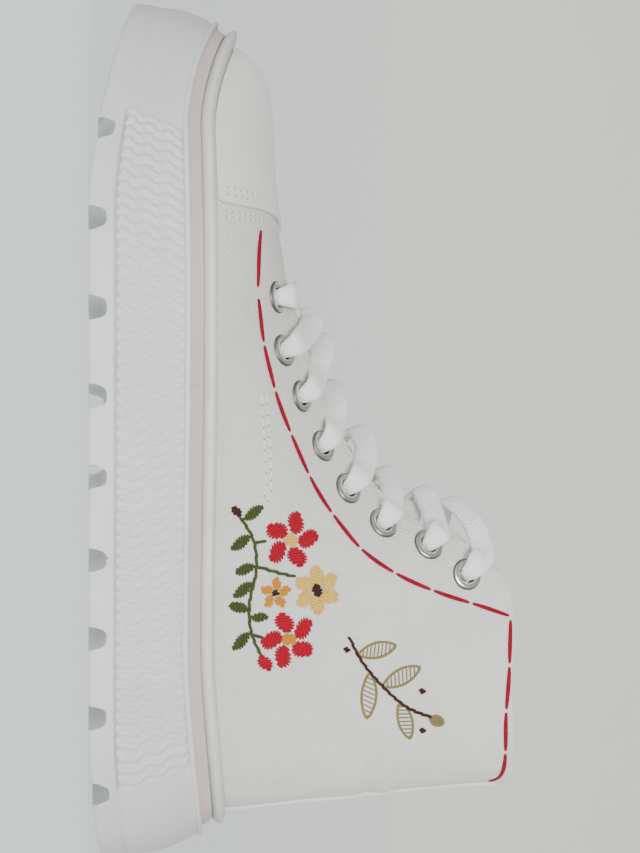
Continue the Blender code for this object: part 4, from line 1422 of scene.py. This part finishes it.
stem("brown", [(67.0, 81.0), (75.0, 85.0), (83.0, 91.5), (90.0, 99.5), (94.0, 108.0)], 3.4)
for leaf in SPRIG_LEAVES:
    open_leaf("olive", *leaf)
for x, z in ((70.5, 79.5), (84.5, 104.0), (97.5, 104.5)):
    satin("brown", x, z, 45, 2.2, 1.9, 0.5)
for colour, material in FLOSS.items():
    if sewn[colour]:
        lay_threads(f"embroidery_{colour}", sewn[colour], SATIN_RADIUS, material)
    if fine[colour]:
        lay_threads(f"open_leaves_{colour}", fine[colour], OUTLINE_RADIUS, material)

# %% [markdown]
# ## Light, floor and camera
# The shoe stands on a pale studio sweep: a floor that curves up into a wall far behind, so no horizon
# shows. It glows faintly, as a light table does, which keeps the notches of the tread from going black.
# The room gives even light, and two soft lights on the camera's side let what turns away from it fall off
# a little. The camera looks at the outer side from just above the floor, rolled a quarter turn so that the
# toe points up in the picture.

# %% Studio sweep and room
SWEEP_FRONT, SWEEP_BEND, SWEEP_RADIUS, SWEEP_HEIGHT, SWEEP_WIDTH = -6.0, 1.5, 1.0, 4.0, 14.0
FLOOR_SHARE, BEND_SHARE, WALL_SHARE = 0.4, 0.3, 0.3
GLOW = 0.58
ROOM_LIGHT = 0.5


def pull_sweep(across, along):
    """Floor, bend and wall, in metres."""
    turn = np.pi / 2 * np.clip((along - FLOOR_SHARE) / BEND_SHARE, 0, 1)
    y = SWEEP_FRONT + (SWEEP_BEND - SWEEP_FRONT) * np.minimum(along / FLOOR_SHARE, 1.0)
    z = SWEEP_HEIGHT * np.clip((along - FLOOR_SHARE - BEND_SHARE) / WALL_SHARE, 0, 1)
    return np.column_stack((SWEEP_WIDTH * (across - 0.5), y + SWEEP_RADIUS * np.sin(turn),
                            z + SWEEP_RADIUS * (1 - np.cos(turn))))


sweep_shape = pulled_grid(1, 40, pull_sweep)
sweep_mesh = bpy.data.meshes.new("studio_sweep")
sweep_shape.to_mesh(sweep_mesh)
sweep_shape.free()
sweep_mesh.shade_smooth()
paint, paint_tree, paint_shader = new_finish("pale studio paint", 0.8, Emission_Strength=GLOW)
room_place = add_node(paint_tree, "ShaderNodeTexCoord").outputs["Object"]
height = add_node(paint_tree, "ShaderNodeSeparateXYZ", links={"Vector": room_place})
tint = add_node(paint_tree, "ShaderNodeValToRGB", links={"Fac": height.outputs["Z"]})
tint.color_ramp.elements[0].color = hex_colour("#dde6e7")
tint.color_ramp.elements[1].color = hex_colour("#e6e3df")
for socket in ("Base Color", "Emission Color"):
    paint_tree.links.new(tint.outputs["Color"], paint_shader.inputs[socket])
sweep_mesh.materials.append(paint)
sweep = add_object("studio_sweep", sweep_mesh)

world = bpy.data.worlds.new("pale room")
world.use_nodes = True
background = world.node_tree.nodes["Background"]
background.inputs["Color"].default_value = hex_colour("#f2f1ee")
background.inputs["Strength"].default_value = ROOM_LIGHT
bpy.context.scene.world = world
print("sweep", sweep_mesh.name, "has", len(sweep_mesh.polygons), "faces")

# %% Lights and camera
CAMERA_SPOT = (0.1, -345.0, 1.5)
CAMERA_RISE = 12.52
CAMERA_LENS = 43.05


def soft_light(name, spot, target, width, height, watts):
    """A wide soft light aimed at a point; places in metres."""
    lamp = bpy.data.lights.new(name, "AREA")
    lamp.shape = "RECTANGLE"
    lamp.size = width
    lamp.size_y = height
    lamp.energy = watts
    aim = (Vector(target) - Vector(spot)).to_track_quat("-Z", "Y")
    add_object(name, lamp).matrix_world = Matrix.Translation(spot) @ aim.to_matrix().to_4x4()


soft_light("soft window", (0.05, -1.35, 0.35), (0, 0, 0.06), 0.5, 0.6, 12)
soft_light("low strip", (0.05, -1.3, 0.08), (0, 0, 0.03), 0.5, 0.14, 4.5)

rise = math.radians(CAMERA_RISE)
look = Vector((0, math.cos(rise), math.sin(rise)))
right = Vector((0, -math.sin(rise), math.cos(rise)))
top = Vector((-1, 0, 0))
lens = bpy.data.cameras.new("camera")
lens.lens = CAMERA_LENS
lens.sensor_width = 36.0
lens.clip_start = 0.01
camera = add_object("camera", lens)
camera_turn = Matrix((right, top, -look)).transposed().to_4x4()
camera.matrix_world = Matrix.Translation(Vector(CAMERA_SPOT) * MM) @ camera_turn
bpy.context.scene.camera = camera
print("camera stands at", CAMERA_SPOT, "mm")
